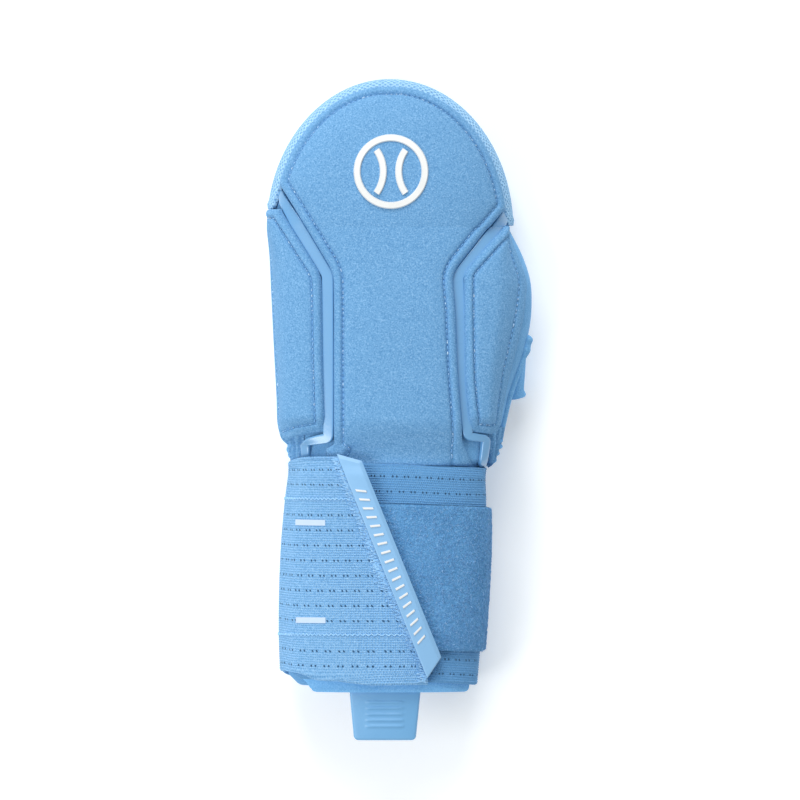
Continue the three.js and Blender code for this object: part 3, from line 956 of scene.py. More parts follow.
@dataclass(frozen=True)
class Elastic(Cloth):
    """Ribbed woven elastic: dots along each rib and rows of paired eyelets, in the strap's own map."""

    rib: float = 0.0011
    dot: float = 0.001
    row_pitch: float = 0.00685
    first_row: float = 0.0057
    pair_pitch: float = 0.0055
    pair_gap: float = 0.0018
    radius: float = 0.00035
    # Painted shadow in the eyelet holes
    hole_shadow: Colour = (0.035, 0.11, 0.24)
    hole_depth: float = -2.0
    sewn_rows: Span = (2.0, 11.0)
    last_row: float = 13.5
    # Painted shade in the valleys between ribs, and a painted highlight on the dots of the weave
    valley_ramp: Span = (0.2, -0.9)
    valley_painted_shade: float = 0.75
    dot_ramp: Span = (-0.4, 0.9)
    dot_painted_highlight: float = 0.3
    dot_rise: float = 0.6
    # Painted shade: the strap's first layer, before this span along it, is painted darker as the shade of
    # the outer lap over it
    lap_shadow_span: Span = (0.2, 0.14)
    lap_painted_shade: float = 0.72

    def holes(self, kit: NodeKit, along: Socket, across: Socket) -> Socket:
        """Mask of the eyelets, left out where a row is sewn over and past the last row.

        Args:
            kit: adds the nodes.
            along: place along the strap.
            across: place across it.

        Returns:
            1 in a hole and 0 beside it.
        """
        eyelets = kit.group(eyelet_group(), {
            "Along": along, "Across": across, "First row": self.first_row, "Row pitch": self.row_pitch,
            "Pair pitch": self.pair_pitch, "Pair gap": self.pair_gap, "Radius": self.radius,
        })
        sewn = [kit.math("COMPARE", eyelets["Row"], row, 0.5) for row in self.sewn_rows]
        free = kit.math("SUBTRACT", 1.0, kit.math("MAXIMUM", *sewn))
        above = kit.math("LESS_THAN", eyelets["Row"], self.last_row)
        return kit.math("MULTIPLY", kit.math("MULTIPLY", eyelets["Hole"], free), above)

    def paint(self, kit: NodeKit, fibres: Sockets) -> tuple[Socket, Socket]:
        """Paint shade into the valleys between ribs and highlights onto the dots, paint shade onto the
        first layer under the lap, and open the holes with painted shadow.

        Args:
            kit: adds the nodes.
            fibres: outputs of the fibre group.

        Returns:
            Colour and height.
        """
        along, across = kit.map_place()
        holes = self.holes(kit, along, across)
        ribs = kit.math("COSINE", kit.math("MULTIPLY", across, TURN / self.rib))
        valley_shadow_mask = kit.ramp(ribs, *self.valley_ramp)
        step = kit.math("MULTIPLY", kit.math("FLOOR", kit.math("DIVIDE", across, self.rib)), math.pi)
        weave = kit.math("SINE", kit.math("MULTIPLY_ADD", along, TURN / self.dot, step))
        dots = kit.ramp(weave, *self.dot_ramp)
        # Painted shade in the rib valleys, then a painted highlight on the dots
        shaded = kit.blend(valley_shadow_mask, self.valley_painted_shade, self.ground, self.pit_and_shade)
        bright = self.flecked(kit, fibres, kit.blend(dots, self.dot_painted_highlight, shaded, self.glint))
        # Painted shade on the first layer, under the outer lap
        lap_shaded = kit.blend(kit.ramp(along, *self.lap_shadow_span), self.lap_painted_shade, bright, self.pit_and_shade)
        raised = kit.math("MULTIPLY_ADD", dots, self.dot_rise, fibres["Height"])
        # Painted shadow fills the eyelets, which also sink by the bump
        return kit.mix(holes, lap_shaded, self.hole_shadow), kit.math("MULTIPLY_ADD", holes, self.hole_depth, raised)


@dataclass(frozen=True)
class MeshCloth(Cloth):
    """Coarse knitted mesh: crossed waves leave cells between raised yarns, darkened with painted shade, in
    the cap's own map.
    """

    cell: float = 0.0023
    cell_ramp: Span = (0.1, 1.3)
    # Share of painted shade in the sunk cells
    cell_painted_shade: float = 0.7
    cell_depth: float = -1.6
    slack: float = 3.2
    slack_scale: float = 330.0

    def paint(self, kit: NodeKit, fibres: Sockets) -> tuple[Socket, Socket]:
        """Cross two waves that drift with a noise, and sink the cells between them and paint shade into
        them.

        Args:
            kit: adds the nodes.
            fibres: outputs of the fibre group.

        Returns:
            Colour and height.
        """
        along, across = kit.map_place()
        drift = kit.math("MULTIPLY", kit.noise(kit.place(), self.slack_scale), self.slack)
        slants = [kit.math(operation, along, across) for operation in ("ADD", "SUBTRACT")]
        phases = [kit.math("MULTIPLY_ADD", slant, TURN / self.cell, drift) for slant in slants]
        waves = kit.math("ADD", *(kit.math("COSINE", phase) for phase in phases))
        cell = kit.ramp(waves, *self.cell_ramp)
        # Painted shade in the cells between the yarns
        colour = kit.blend(cell, self.cell_painted_shade, self.flecked(kit, fibres, self.ground), self.pit_and_shade)
        return colour, kit.math("MULTIPLY_ADD", cell, self.cell_depth, fibres["Height"])


@dataclass(frozen=True)
class Moulded(Finish):
    """Satin moulded elastomer: a faint grain in its gloss and surface."""

    shade: Colour
    grain: float = 900.0
    grain_step: float = 12.0
    roughness: float = 0.42
    spread: float = 0.12
    bump: float = 0.00008
    bump_strength: float = 1.0
    coat: float = 0.1
    coat_roughness: float = 0.3
    coat_ior: float = 1.5

    def values(self, kit: NodeKit) -> dict[str, Feed]:
        """Vary the colour and gloss by the grain's blotches.

        Args:
            kit: adds the nodes.

        Returns:
            What the shader's inputs take.
        """
        fibres = self.fibres(kit, self.grain, self.grain / self.grain_step)
        return {
            "Base Color": kit.mix(fibres["Blotch"], self.ground, self.shade),
            "Roughness": kit.math("MULTIPLY_ADD", fibres["Blotch"], self.spread, self.roughness),
            "Normal": kit.bump(fibres["Height"], self.bump, self.bump_strength),
            "Coat Weight": self.coat,
            "Coat Roughness": self.coat_roughness,
            "Coat IOR": self.coat_ior,
        }


KNIT = PadCloth(
    "brushed_knit", (0.158, 0.367, 0.63), (0.074, 0.229, 0.465), (0.337, 0.577, 0.85),
    coarse=420.0, pits=0.65, glints=0.5, blotch=0.15, bump=0.0003,
)
NEOPRENE = Cloth(
    "stretch_jersey", (0.185, 0.44, 0.75), (0.1, 0.3, 0.58), (0.34, 0.6, 0.9), fine=1700.0, bump=0.0002,
)
# A lighter copy of the shell's jersey: painted light that makes up for the shade on the stall and the flap
LIT_JERSEY = Cloth(
    "jersey_painted_light", (0.215, 0.52, 0.89), (0.12, 0.36, 0.7), (0.38, 0.68, 1.0), fine=1700.0, bump=0.0002,
)
# A darker copy of the shell's jersey: painted shade for the tube, seen only in the strap's shade and inside
SHADED_JERSEY = Cloth(
    "jersey_painted_shade", (0.13, 0.35, 0.64), (0.07, 0.24, 0.5), (0.28, 0.54, 0.85), fine=1700.0, bump=0.0002,
)
# A lighter copy of the shell's jersey: painted light that makes up for the shade on the binding and gathers
LIT_BINDING = Cloth(
    "binding_painted_light", (0.2, 0.48, 0.81), (0.115, 0.34, 0.66), (0.4, 0.68, 0.97), fine=1700.0,
)
PILE = Cloth(
    "loop_pile", (0.115, 0.325, 0.61), (0.06, 0.21, 0.45), (0.3, 0.55, 0.85),
    fine=1700.0, coarse=90.0, pits=0.7, glints=0.5, blotch=0.45, bump=0.0006, sheen=0.4,
)
LOOP_FIBRE = Cloth(
    "loop_fibre", (0.2, 0.43, 0.72), (0.12, 0.32, 0.59), (0.5, 0.74, 0.98), fine=900.0, glints=0.8,
)
THREAD = Cloth(
    "sewing_thread", (0.21, 0.46, 0.77), (0.12, 0.33, 0.62), (0.7, 0.88, 1.0), fine=900.0, glints=0.9,
)
ELASTIC_THREAD = Cloth(
    "overlock_thread", (0.38, 0.67, 0.96), (0.22, 0.49, 0.8), (0.68, 0.88, 1.0), fine=900.0,
)
ELASTIC = Elastic(
    "ribbed_elastic", (0.252, 0.515, 0.84), (0.1, 0.305, 0.6), (0.43, 0.69, 0.95), fine=1300.0, glints=0.45,
)
MESH_CLOTH = MeshCloth(
    "knitted_mesh", (0.37, 0.635, 0.91), (0.12, 0.335, 0.64), (0.57, 0.81, 1.0), sheen=0.1,
)
MOULDED = Moulded("satin_elastomer", (0.262, 0.5, 0.775), (0.245, 0.48, 0.755))
CHANNEL = Moulded(
    "channel_elastomer", (0.155, 0.385, 0.665), (0.147, 0.375, 0.655),
    roughness=0.22, spread=0.06, coat=1.0, coat_roughness=0.34, coat_ior=1.7,
)
TAB = Moulded("tab_elastomer", (0.19, 0.447, 0.745), (0.175, 0.427, 0.723), roughness=0.36)
WHITE = Moulded("white_elastomer", (0.85, 0.84, 0.82), (0.8, 0.79, 0.77))
REFLECTIVE = Moulded("pale_film", (0.56, 0.675, 0.83), (0.51, 0.635, 0.79), roughness=0.3)
PAPER = Cloth(
    "pale_paper", (0.92, 0.92, 0.92), (0.9, 0.9, 0.9), (0.93, 0.93, 0.93),
    bump=0.00002, sheen=0.0, glow=0.3,
)


# The hand part

@dataclass
class Shell:
    """The hollow hand part with its thumb slot."""

    around: int = 160
    outer_rows: tuple[int, int] = (70, 30)
    inner_rows: tuple[int, int] = (24, 16)
    slot_x: Span = (30.0, 75.0)
    slot_y: Span = (-14.0, 20.0)
    slot_z: Span = (5.5, 15.5)
    slot_steps: int = 13
    unevenness: float = 0.18
    uneven_size: float = 21.0

    def skin(self, inset: float, hand_rows: int, nose_rows: int) -> Array:
        """Rings from the wrist seam to the fingertips, whose steps round the nose follow a sine.

        Args:
            inset: distance inside the skin.
            hand_rows: number of rings up to the nose.
            nose_rows: number of rings round it.

        Returns:
            The rings' points.
        """
        turn = np.linspace(0, TURN, self.around, endpoint=False)
        hand = np.linspace(LAYERS.wrist_seam, BODY.nose_y, hand_rows)
        bend = np.linspace(0, math.pi / 2, nose_rows)[1:]
        nose = BODY.nose_y + (BODY.nose_reach - inset) * np.sin(bend)
        return BODY.point(turn, np.concatenate([hand, nose])[:, None], inset)

    def cutter(self) -> Piece:
        """The slot's round-ended outline, run out along X.

        Returns:
            The cutting object.
        """
        radius = (self.slot_z[1] - self.slot_z[0]) / 2
        turn = np.linspace(-math.pi / 2, math.pi / 2, self.slot_steps)
        end = radius * beside(np.cos(turn), np.sin(turn))
        far = end + [self.slot_y[1] - radius, 0]
        near = -end + [self.slot_y[0] + radius, 0]
        outline = np.concatenate([far, near]) + [0, sum(self.slot_z) / 2]
        x = np.array(self.slot_x)[:, None]
        return put("slot_cutter", tube(beside(x, outline[:, 0], outline[:, 1])), NEOPRENE)

    def build(self) -> None:
        """Make the double-walled form, soften its outside, and cut the slot through its side wall."""
        outer = self.skin(0.0, *self.outer_rows)
        inner = self.skin(LAYERS.wall, *self.inner_rows)
        outer[..., 0] += self.unevenness * ripple(outer[..., 1], outer[..., 2], self.uneven_size)
        piece = put("shell", rings(np.concatenate([inner[::-1], outer])), NEOPRENE)
        cutter = self.cutter()
        cut = piece.modifiers.new("thumb slot", "BOOLEAN")
        cut.operation = "DIFFERENCE"
        cut.solver = "EXACT"
        cut.object = cutter
        depsgraph = bpy.context.evaluated_depsgraph_get()
        finished = bpy.data.meshes.new_from_object(piece.evaluated_get(depsgraph))
        piece.modifiers.clear()
        piece.data = finished
        bpy.data.objects.remove(cutter)
        settle(piece, Slot.NEOPRENE, "mitt_shell")


@dataclass
class ToeCap:
    """The coarse mesh cap round the fingertip rim, with a turned hem."""

    around: int = 280
    rows: int = 46
    outer_hem: float = 91.9
    thumb_hem: float = 84.2
    middle_hem: float = 124.0
    side_turn: Span = (0.3, 0.6)
    hem_roll: float = 0.55
    hem_width: float = 3.2
    tip_gap: float = 0.5
    map_radius: float = 56.0
    flat: Span = (0.17, 0.06)
    flat_area: float = 0.007

    def hem(self, angle: Array) -> Array:
        """Hem line round the section: low at the sides, high over the back and the palm."""
        side = lerp(self.outer_hem, self.thumb_hem, (1 + np.cos(angle)) / 2)
        return lerp(side, self.middle_hem, smoothstep(np.abs(np.sin(angle)), *self.side_turn))

    def face(self, inset: float, rolled: float) -> tuple[Array, Array]:
        """Rings from the hem to the tip, with the hem's roll standing out.

        Args:
            inset: distance inside the skin.
            rolled: height of the hem's roll.

        Returns:
            Points, and map places round the nose in plan and up its height, which keep the cells even.
        """
        angle = np.linspace(0, TURN, self.around, endpoint=False)[None, :]
        bend = np.linspace(0, math.pi / 2, self.rows)[:, None]
        tip = BODY.nose_y + BODY.nose_reach - inset
        hem = self.hem(angle)
        y = lerp(hem, tip, np.sin(bend))
        swell = rolled * np.sqrt(np.clip(1 - ((y - hem) / self.hem_width * 2 - 1) ** 2, 0, 1))
        outwards = BODY.normal(angle, np.minimum(y, tip - self.tip_gap))
        points = BODY.point(angle, y, inset) + swell[..., None] * outwards
        plan = np.arctan2(points[..., 0] - BODY.nose_x, points[..., 1] - BODY.nose_y)
        return points, beside(plan * self.map_radius, points[..., 2])

    def build(self) -> None:
        """Make the cap as an inner and an outer face that meet at the hem."""
        inner, inner_map = self.face(-LAYERS.cap_gap, 0.0)
        outer, outer_map = self.face(-LAYERS.cap_gap - LAYERS.cap, self.hem_roll)
        points = np.concatenate([inner[::-1], outer])
        surface = rings(points, np.concatenate([inner_map[::-1], outer_map]))
        piece = settle(put("fingertip_cap", surface, MESH_CLOTH), Slot.MESH_CLOTH, "toe_cap")


# Padded panels

@dataclass(frozen=True)
class PadProfile:
    """Height of a stitched pad over its seat by the distance from its edge: welt, groove and crown."""

    welt: float = 4.6
    crest: float = 3.6
    crest_share: float = 0.6
    groove: float = 2.4
    crown: float = 4.7
    soften: float = 5.0
    pucker: float = 0.6
    snap: float = 0.45
    edge: float = 0.7
    pinch: float = 0.4
    pinch_reach: float = 0.8
    stitch: float = 2.5
    stitch_share: float = 0.78
    stitch_lift: float = 0.12
    thread: float = 0.24

    def height(self, distance: Array, along: Array) -> Array:
        """Half-round welt up to its crest, down to the groove, then a swell to the crown.

        The groove is pinched deeper at each needle hole, one stitch length apart.

        Args:
            distance: distance from the pad's edge.
            along: length along the edge.

        Returns:
            Heights over the seat.
        """
        top = self.crest_share * self.welt
        climb = lerp(self.edge, self.crest, rounded(distance, top))
        fall = lerp(self.crest, self.groove, smoothstep(distance, top, self.welt) ** 2)
        inside = np.maximum(distance - self.welt, 0)
        quick = 1 - np.exp(-inside / self.pucker)
        slow = 1 - np.exp(-inside / self.soften)
        swell = lerp(self.groove, self.crown, lerp(slow, quick, self.snap))
        height = np.where(distance < top, climb, np.where(distance < self.welt, fall, swell))
        needle = 0.5 + 0.5 * np.cos(TURN * along / self.stitch)
        return height - self.pinch * needle * bell(distance - self.welt, self.pinch_reach)


def edge_distance(points: Array, border: Array, block_size: int = 1500) -> tuple[Array, Array]:
    """Distance of each point from a border line, and the length along the line to its nearest place.

    Args:
        points: any grid of points.
        border: points of the line.
        block_size: number of points that are measured at once.

    Returns:
        Distances and lengths in the grid's shape.
    """
    leg = np.diff(border, axis=0)
    square = np.einsum("ij,ij->i", leg, leg)
    before = path_lengths(border)
    flat = points.reshape(-1, 3)
    distances = np.empty(len(flat))
    lengths = np.empty(len(flat))
    for block in np.array_split(np.arange(len(flat)), max(1, len(flat) // block_size)):
        away = flat[block, None] - border[None, :-1]
        t = np.clip(np.einsum("ijk,jk->ij", away, leg) / square, 0, 1)
        reach = np.linalg.norm(away - t[..., None] * leg[None], axis=-1)
        nearest = reach.argmin(axis=1)
        chosen = np.arange(len(block)), nearest
        distances[block] = reach[chosen]
        lengths[block] = before[nearest] + t[chosen] * np.sqrt(square[nearest])
    return distances.reshape(points.shape[:-1]), lengths.reshape(points.shape[:-1])


def level_line(points: Array, distance: Array, along: Array, level: float, reach: int = 2) -> Array:
    """Line on a grid where the distance from the border has one value, ordered along the border.

    Args:
        points: grid of points.
        distance: distance of each from the border.
        along: length along the border to each one's nearest place.
        level: the distance wanted.
        reach: number of neighbours to each side that smooth a point.

    Returns:
        Points of the line, read between neighbouring grid points.
    """
    found = []
    order = []
    for axis in (0, 1):
        earlier = range(distance.shape[axis] - 1)
        later = range(1, distance.shape[axis])
        first = np.take(distance, earlier, axis) - level
        second = np.take(distance, later, axis) - level
        cross = first * second < 0
        t = (first[cross] / (first[cross] - second[cross]))[:, None]
        found.append(lerp(np.take(points, earlier, axis)[cross], np.take(points, later, axis)[cross], t))
        order.append(np.take(along, earlier, axis)[cross])
    line = np.concatenate(found)[np.argsort(np.concatenate(order), kind="stable")]
    longer = np.pad(line, ((reach, reach), (0, 0)), mode="edge")
    return np.mean([longer[start:start + len(line)] for start in range(2 * reach + 1)], axis=0)


def pad_stitches(name: str, line: Array, profile: PadProfile) -> None:
    """Sew a row of stitches along a line on the back.

    Args:
        name: name of the row.
        line: points of the line.
        profile: the pad's stitch sizes.
    """
    places, ways = along_line(line, profile.stitch, profile.stitch / 2)
    ups = BODY.back_normal(places)
    shape = Stitch(profile.stitch_share * profile.stitch, profile.thread).shape()
    settle(put(name, scatter(shape, places + profile.stitch_lift * ups, ways, ups), THREAD), Slot.KNIT)


@dataclass
class BackPanel:
    """The padded centre panel: straight below, spread to a round nose above."""

    edge_y: Row = (-26.0, -10.0, 17.4, 44.0, 61.8, 92.8, 100.5, 112.0)
    edge_left: Row = (-30.0, -30.0, -30.1, -30.0, -30.2, -48.4, -52.9, -59.7)
    edge_right: Row = (28.4, 28.1, 26.3, 25.4, 23.9, 47.9, 53.9, 62.8)
    nose_half: float = 51.9
    nose_reach: float = 64.0
    nose_tip: float = 0.1
    foot: float = -25.4
    foot_thin: float = 0.34
    foot_seat: float = 0.5
    dip: Span = (-24.5, -4.0)
    flare_left: float = 3.6
    flare_left_y: Span = (-15.8, -18.2)
    flare_right: float = 4.6
    flare_right_y: Span = (-26.4, -14.4)
    lower_rows: int = 190
    upper_rows: int = 110
    columns: int = 130
    crowd: float = 0.45
    profile: PadProfile = PadProfile()
    unevenness: float = 0.16
    uneven_size: float = 26.0
    even_rim: float = 3.0
    stitches_from: float = -22.0

    def seat(self, y: Array) -> Array:
        """Height of the panel's underside over the skin; it dips under the wrist strap at the foot."""
        return lerp(self.foot_seat, LAYERS.panel_seat, smoothstep(y, *self.dip))

    def flares(self, y: Array) -> tuple[Array, Array]:
        """How far the left and right edges spread at the foot, below the strips' elbows."""
        left = self.flare_left * smoothstep(y, *self.flare_left_y)
        return left, np.interp(y, self.flare_right_y, (self.flare_right, 0.0))

    def plan(self) -> tuple[Array, Array]:
        """Grid in plan between the left and right edges, trimmed by the nose's ellipse.

        Returns:
            X and Y of the grid.
        """
        lower = np.linspace(self.foot, BODY.nose_y, self.lower_rows)
        bend = np.linspace(0, math.pi / 2 - self.nose_tip, self.upper_rows)[1:]
        y = np.concatenate([lower, BODY.nose_y + self.nose_reach * np.sin(bend)])
        half = self.nose_half * np.concatenate([np.ones(self.lower_rows), np.cos(bend)])
        left_flare, right_flare = self.flares(y)
        left = np.maximum(SoftEdge(self.edge_y, self.edge_left)(y) - left_flare, BODY.nose_x - half)
        right = np.minimum(SoftEdge(self.edge_y, self.edge_right)(y) + right_flare, BODY.nose_x + half)
        x = lerp(left[:, None], right[:, None], crowded(self.columns, self.crowd))
        return x, y[:, None] + 0 * x

    def top(self, x: Array, y: Array) -> Array:
        """Height of the panel's crown over a place well inside its edges."""
        return BODY.back_height(x, y, LAYERS.panel_seat) + self.profile.crown

    def build(self) -> None:
        """Make the pad on its seat, with the stitched groove along its sides and nose."""
        x, y = self.plan()
        base = beside(x, y, BODY.back_height(x, y, self.seat(y)))
        border = np.concatenate([base[:, 0], base[-1, 1:], base[-2::-1, -1]])
        distance, along = edge_distance(base, border)
        welt = self.profile.welt
        distance = distance * welt / (welt + np.where(x < BODY.nose_x, *self.flares(y)))
        inside = smoothstep(distance, welt, self.even_rim * welt)
        uneven = self.unevenness * inside * ripple(x, y, self.uneven_size)
        thin = lerp(self.foot_thin, 1.0, smoothstep(y, *self.dip))
        height = (self.profile.height(distance, along) + uneven) * thin
        over = base + height[..., None] * BODY.back_normal(base)
        surface = slab(base, over, beside(distance - welt, along))
        piece = settle(put("back_pad", surface, KNIT), Slot.KNIT, "back_panel")
        line = level_line(over, distance, along, welt)
        pad_stitches("back_stitches", line[line[:, 1] > self.stitches_from], self.profile)


@dataclass
class SidePanel:
    """A padded panel beside the back panel, from its inner edge in plan to an angle on the side."""

    side: Hand
    edge_y: Row
    edge_inner: Row
    edge_outer: Row
    tail_edge: float
    tail_end: float
    outer_share: float = 1.0
    slant: float = 0.0
    slant_reach: float = 20.0
    rows: int = 230
    columns: int = 74
    crowd: float = 0.4
    edge_reach: float = 3.0
    profile: PadProfile = PadProfile(welt=4.2, crest=3.3, groove=2.2, crown=3.9)
    thin: float = 0.5
    thin_across: Span = (0.35, 0.9)
    lowest: float = 7.0
    foot_thin: float = 0.6
    foot_seat: float = 0.4
    foot_reach: float = 8.0
    tail_y: Span = (-25.0, -8.0)
    tail_grid: int = 40
    tail_thick: float = 1.1
    tail_least: float = 0.2
    tail_rim: float = 0.02
    tail_round: float = 0.15
    tail_fold: float = 0.8
    tail_waves: float = 3.2
    tail_lean: float = 0.03
    tail_flatten: float = 6.0

    def angles(self, y: Array) -> tuple[Array, Array]:
        """Angles of the panel's edges; the outer panel's outer edge is in degrees, the thumb one's in plan.

        Args:
            y: stations.

        Returns:
            Inner and outer angle at each station.
        """
        inner = BODY.angle_at(SoftEdge(self.edge_y, self.edge_inner, self.edge_reach)(y), y)
        edge = SoftEdge(self.edge_y, self.edge_outer, self.edge_reach)(y)
        if self.side is Hand.OUTER:
            return inner, np.radians(edge)
        return inner, np.maximum(math.radians(self.lowest), BODY.angle_at(edge, y))

    def tail(self) -> Surface:
        """The thin end of the panel's cloth, puckered lengthwise, beside the strip down to the strap.

        Returns:
            The closed surface.
        """
        across = np.linspace(0, 1, self.tail_grid)[None, :]
        y = np.linspace(*self.tail_y, self.tail_grid)[:, None] + 0 * across
        angle = lerp(BODY.angle_at(self.tail_edge, y), math.radians(self.tail_end), across)
        wave = np.sin(TURN * (self.tail_waves * across + self.tail_lean * y))
        fold = self.tail_fold * wave * np.minimum(1, self.tail_flatten * (1 - across))
        rim = rounded(np.minimum(across, 1 - across) + self.tail_rim, self.tail_round)
        thick = np.maximum(self.tail_thick * rim + fold, self.tail_least)
        return laid(angle, y, LAYERS.gap, LAYERS.gap + thick, beside(self.profile.welt, y))

    def build(self) -> None:
        """Make the pad, seated high at its inner edge and low at its outer one, stitched all round."""
        foot = self.edge_y[0]
        across = crowded(self.columns, self.crowd)[None, :]
        y = lerp(foot, self.edge_y[-1], crowded(self.rows, self.crowd))
        inner, outer = self.angles(y)
        angle = lerp(inner[:, None], outer[:, None], across)
        y = y[:, None]
        station = y - self.slant * (1 - smoothstep(y, foot, foot + self.slant_reach)) * across
        outwards = smoothstep(across, *self.thin_across)
        full = smoothstep(y, foot, foot + self.foot_reach)
        seat = lerp(LAYERS.panel_seat + LAYERS.gap, LAYERS.layer_gap, outwards)
        seat = seat * lerp(self.foot_seat, 1.0, full)
        base = BODY.off(angle, station, seat)
        border = np.concatenate([base[:, 0], base[-1, 1:], base[-2::-1, -1], base[0, -2::-1]])
        distance, along = edge_distance(base, border)
        distance = distance * lerp(1.0, self.outer_share, outwards)
        thin = lerp(1.0, self.thin, outwards) * lerp(self.foot_thin, 1.0, full)
        over = BODY.off(angle, station, seat + self.profile.height(distance, along) * thin)
        pad = slab(base, over, beside(distance - self.profile.welt, along))
        piece = put(f"side_pad_{self.side.value}", joined([pad, self.tail()]), KNIT)
        settle(piece, Slot.KNIT, f"side_panel_{self.side.value}")
        line = level_line(over, distance, along, self.profile.welt)
        pad_stitches(f"side_stitches_{self.side.value}", line, self.profile)


@dataclass
class ChannelStrip:
    """A smooth moulded strip in the channel beside the back panel, with an elbow at the wrist end."""

    side: Hand
    xs: Row
    ys: Row
    widths: Row
    heights: Row
    rounding: float = 1.5
    step: float = 0.6
    columns: int = 19
    edge_round: float = 0.5
    edge_share: float = 0.6
    tuck_y: Span = (-27.0, -20.0)
    tuck_seat: float = 0.05

    def course(self) -> tuple[Array, Array, Array]:
        """Straight legs with corners rounded by averaging.

        Returns:
            Middle line in plan, width and height.
        """
        rows = beside(self.xs, self.ys, self.widths, self.heights)
        lengths = path_lengths(rows[:, :2])
        stops = np.linspace(0, lengths[-1], int(lengths[-1] / self.step))
        x, y, width, height = (SoftEdge(lengths, column, self.rounding)(stops) for column in rows.T)
        return beside(x, y), width, height

    def build(self) -> None:
        """Carry a flat, round-edged profile along the course, laid on the skin."""
        path, width, rise = self.course()
        way = unit(np.gradient(path, axis=0))
        side = beside(way[:, 1], -way[:, 0])
        across = crowded(self.columns) * 2 - 1
        plan = path[:, None] + side[:, None] * (across[None, :, None] * width[:, None, None] / 2)
        x, y = plan[..., 0], plan[..., 1]
        edge = (1 - np.abs(across)) * width[:, None] / 2
        height = rise[:, None] * lerp(self.edge_share, 1.0, rounded(edge, self.edge_round))
        seat = lerp(self.tuck_seat, LAYERS.layer_gap, smoothstep(y, *self.tuck_y))
        surface = laid(BODY.angle_at(x, y), y, seat, seat + height)
        piece = put(f"channel_{self.side.value}", surface, CHANNEL)
        settle(piece, Slot.MOULDED, f"channel_strip_{self.side.value}")


@dataclass
class BallMark:
    """The raised white mark on the back panel: a plain ring with two seam arcs."""

    panel: BackPanel
    x: float = -4.1
    y: float = 108.3
    radius: float = 15.5
    ring_steps: int = 121
    stroke: float = 3.2
    stroke_flat: float = 0.72
    stroke_shoulder: float = 0.45
    seam_radius: float = 17.0
    seam_offset: float = 20.5
    seam_spread: float = 0.62
    seam_steps: int = 50
    sink: float = 0.5
    sharp: float = 30.0

    def ridge(self, x: float, radius: float, turn: Array) -> Array:
        """Sections of a low bevelled ridge along an arc in plan, draped on the panel.

        Args:
            x: X of the arc's middle.
            radius: the arc's radius.
            turn: angles along the arc.

        Returns:
            A ring of points at each angle.
        """
        across, lift = bevelled(self.stroke_flat, LAYERS.emblem, self.stroke_shoulder, -self.sink)
        reach = radius + across * self.stroke / 2
        arc_x = x + reach * np.cos(turn)[:, None]
        arc_y = self.y + reach * np.sin(turn)[:, None]
        return beside(arc_x, arc_y, self.panel.top(arc_x, arc_y) + lift)

    def build(self) -> None:
        """Make the ring and both arcs as one mark."""
        spread = np.linspace(-self.seam_spread, self.seam_spread, self.seam_steps)
        hoop = self.ridge(self.x, self.radius, np.linspace(0, TURN, self.ring_steps))
        left = self.ridge(self.x - self.seam_offset, self.seam_radius, spread)
        right = self.ridge(self.x + self.seam_offset, self.seam_radius, math.pi - spread)
        mark = joined([rings(hoop), tube(left), tube(right)])
        settle(put("ball_mark", mark, WHITE, self.sharp), Slot.WHITE_MARK, "emblem")


# The thumb side and the gathers

@dataclass(frozen=True)
class Gather:
    """A bunched roll at a wrist corner: names, course from upper to lower end, lobes and radius."""

    name: str
    node: str
    angles: Span
    stations: Span
    lobes: int
    radius: float
    taper: float = 0.0


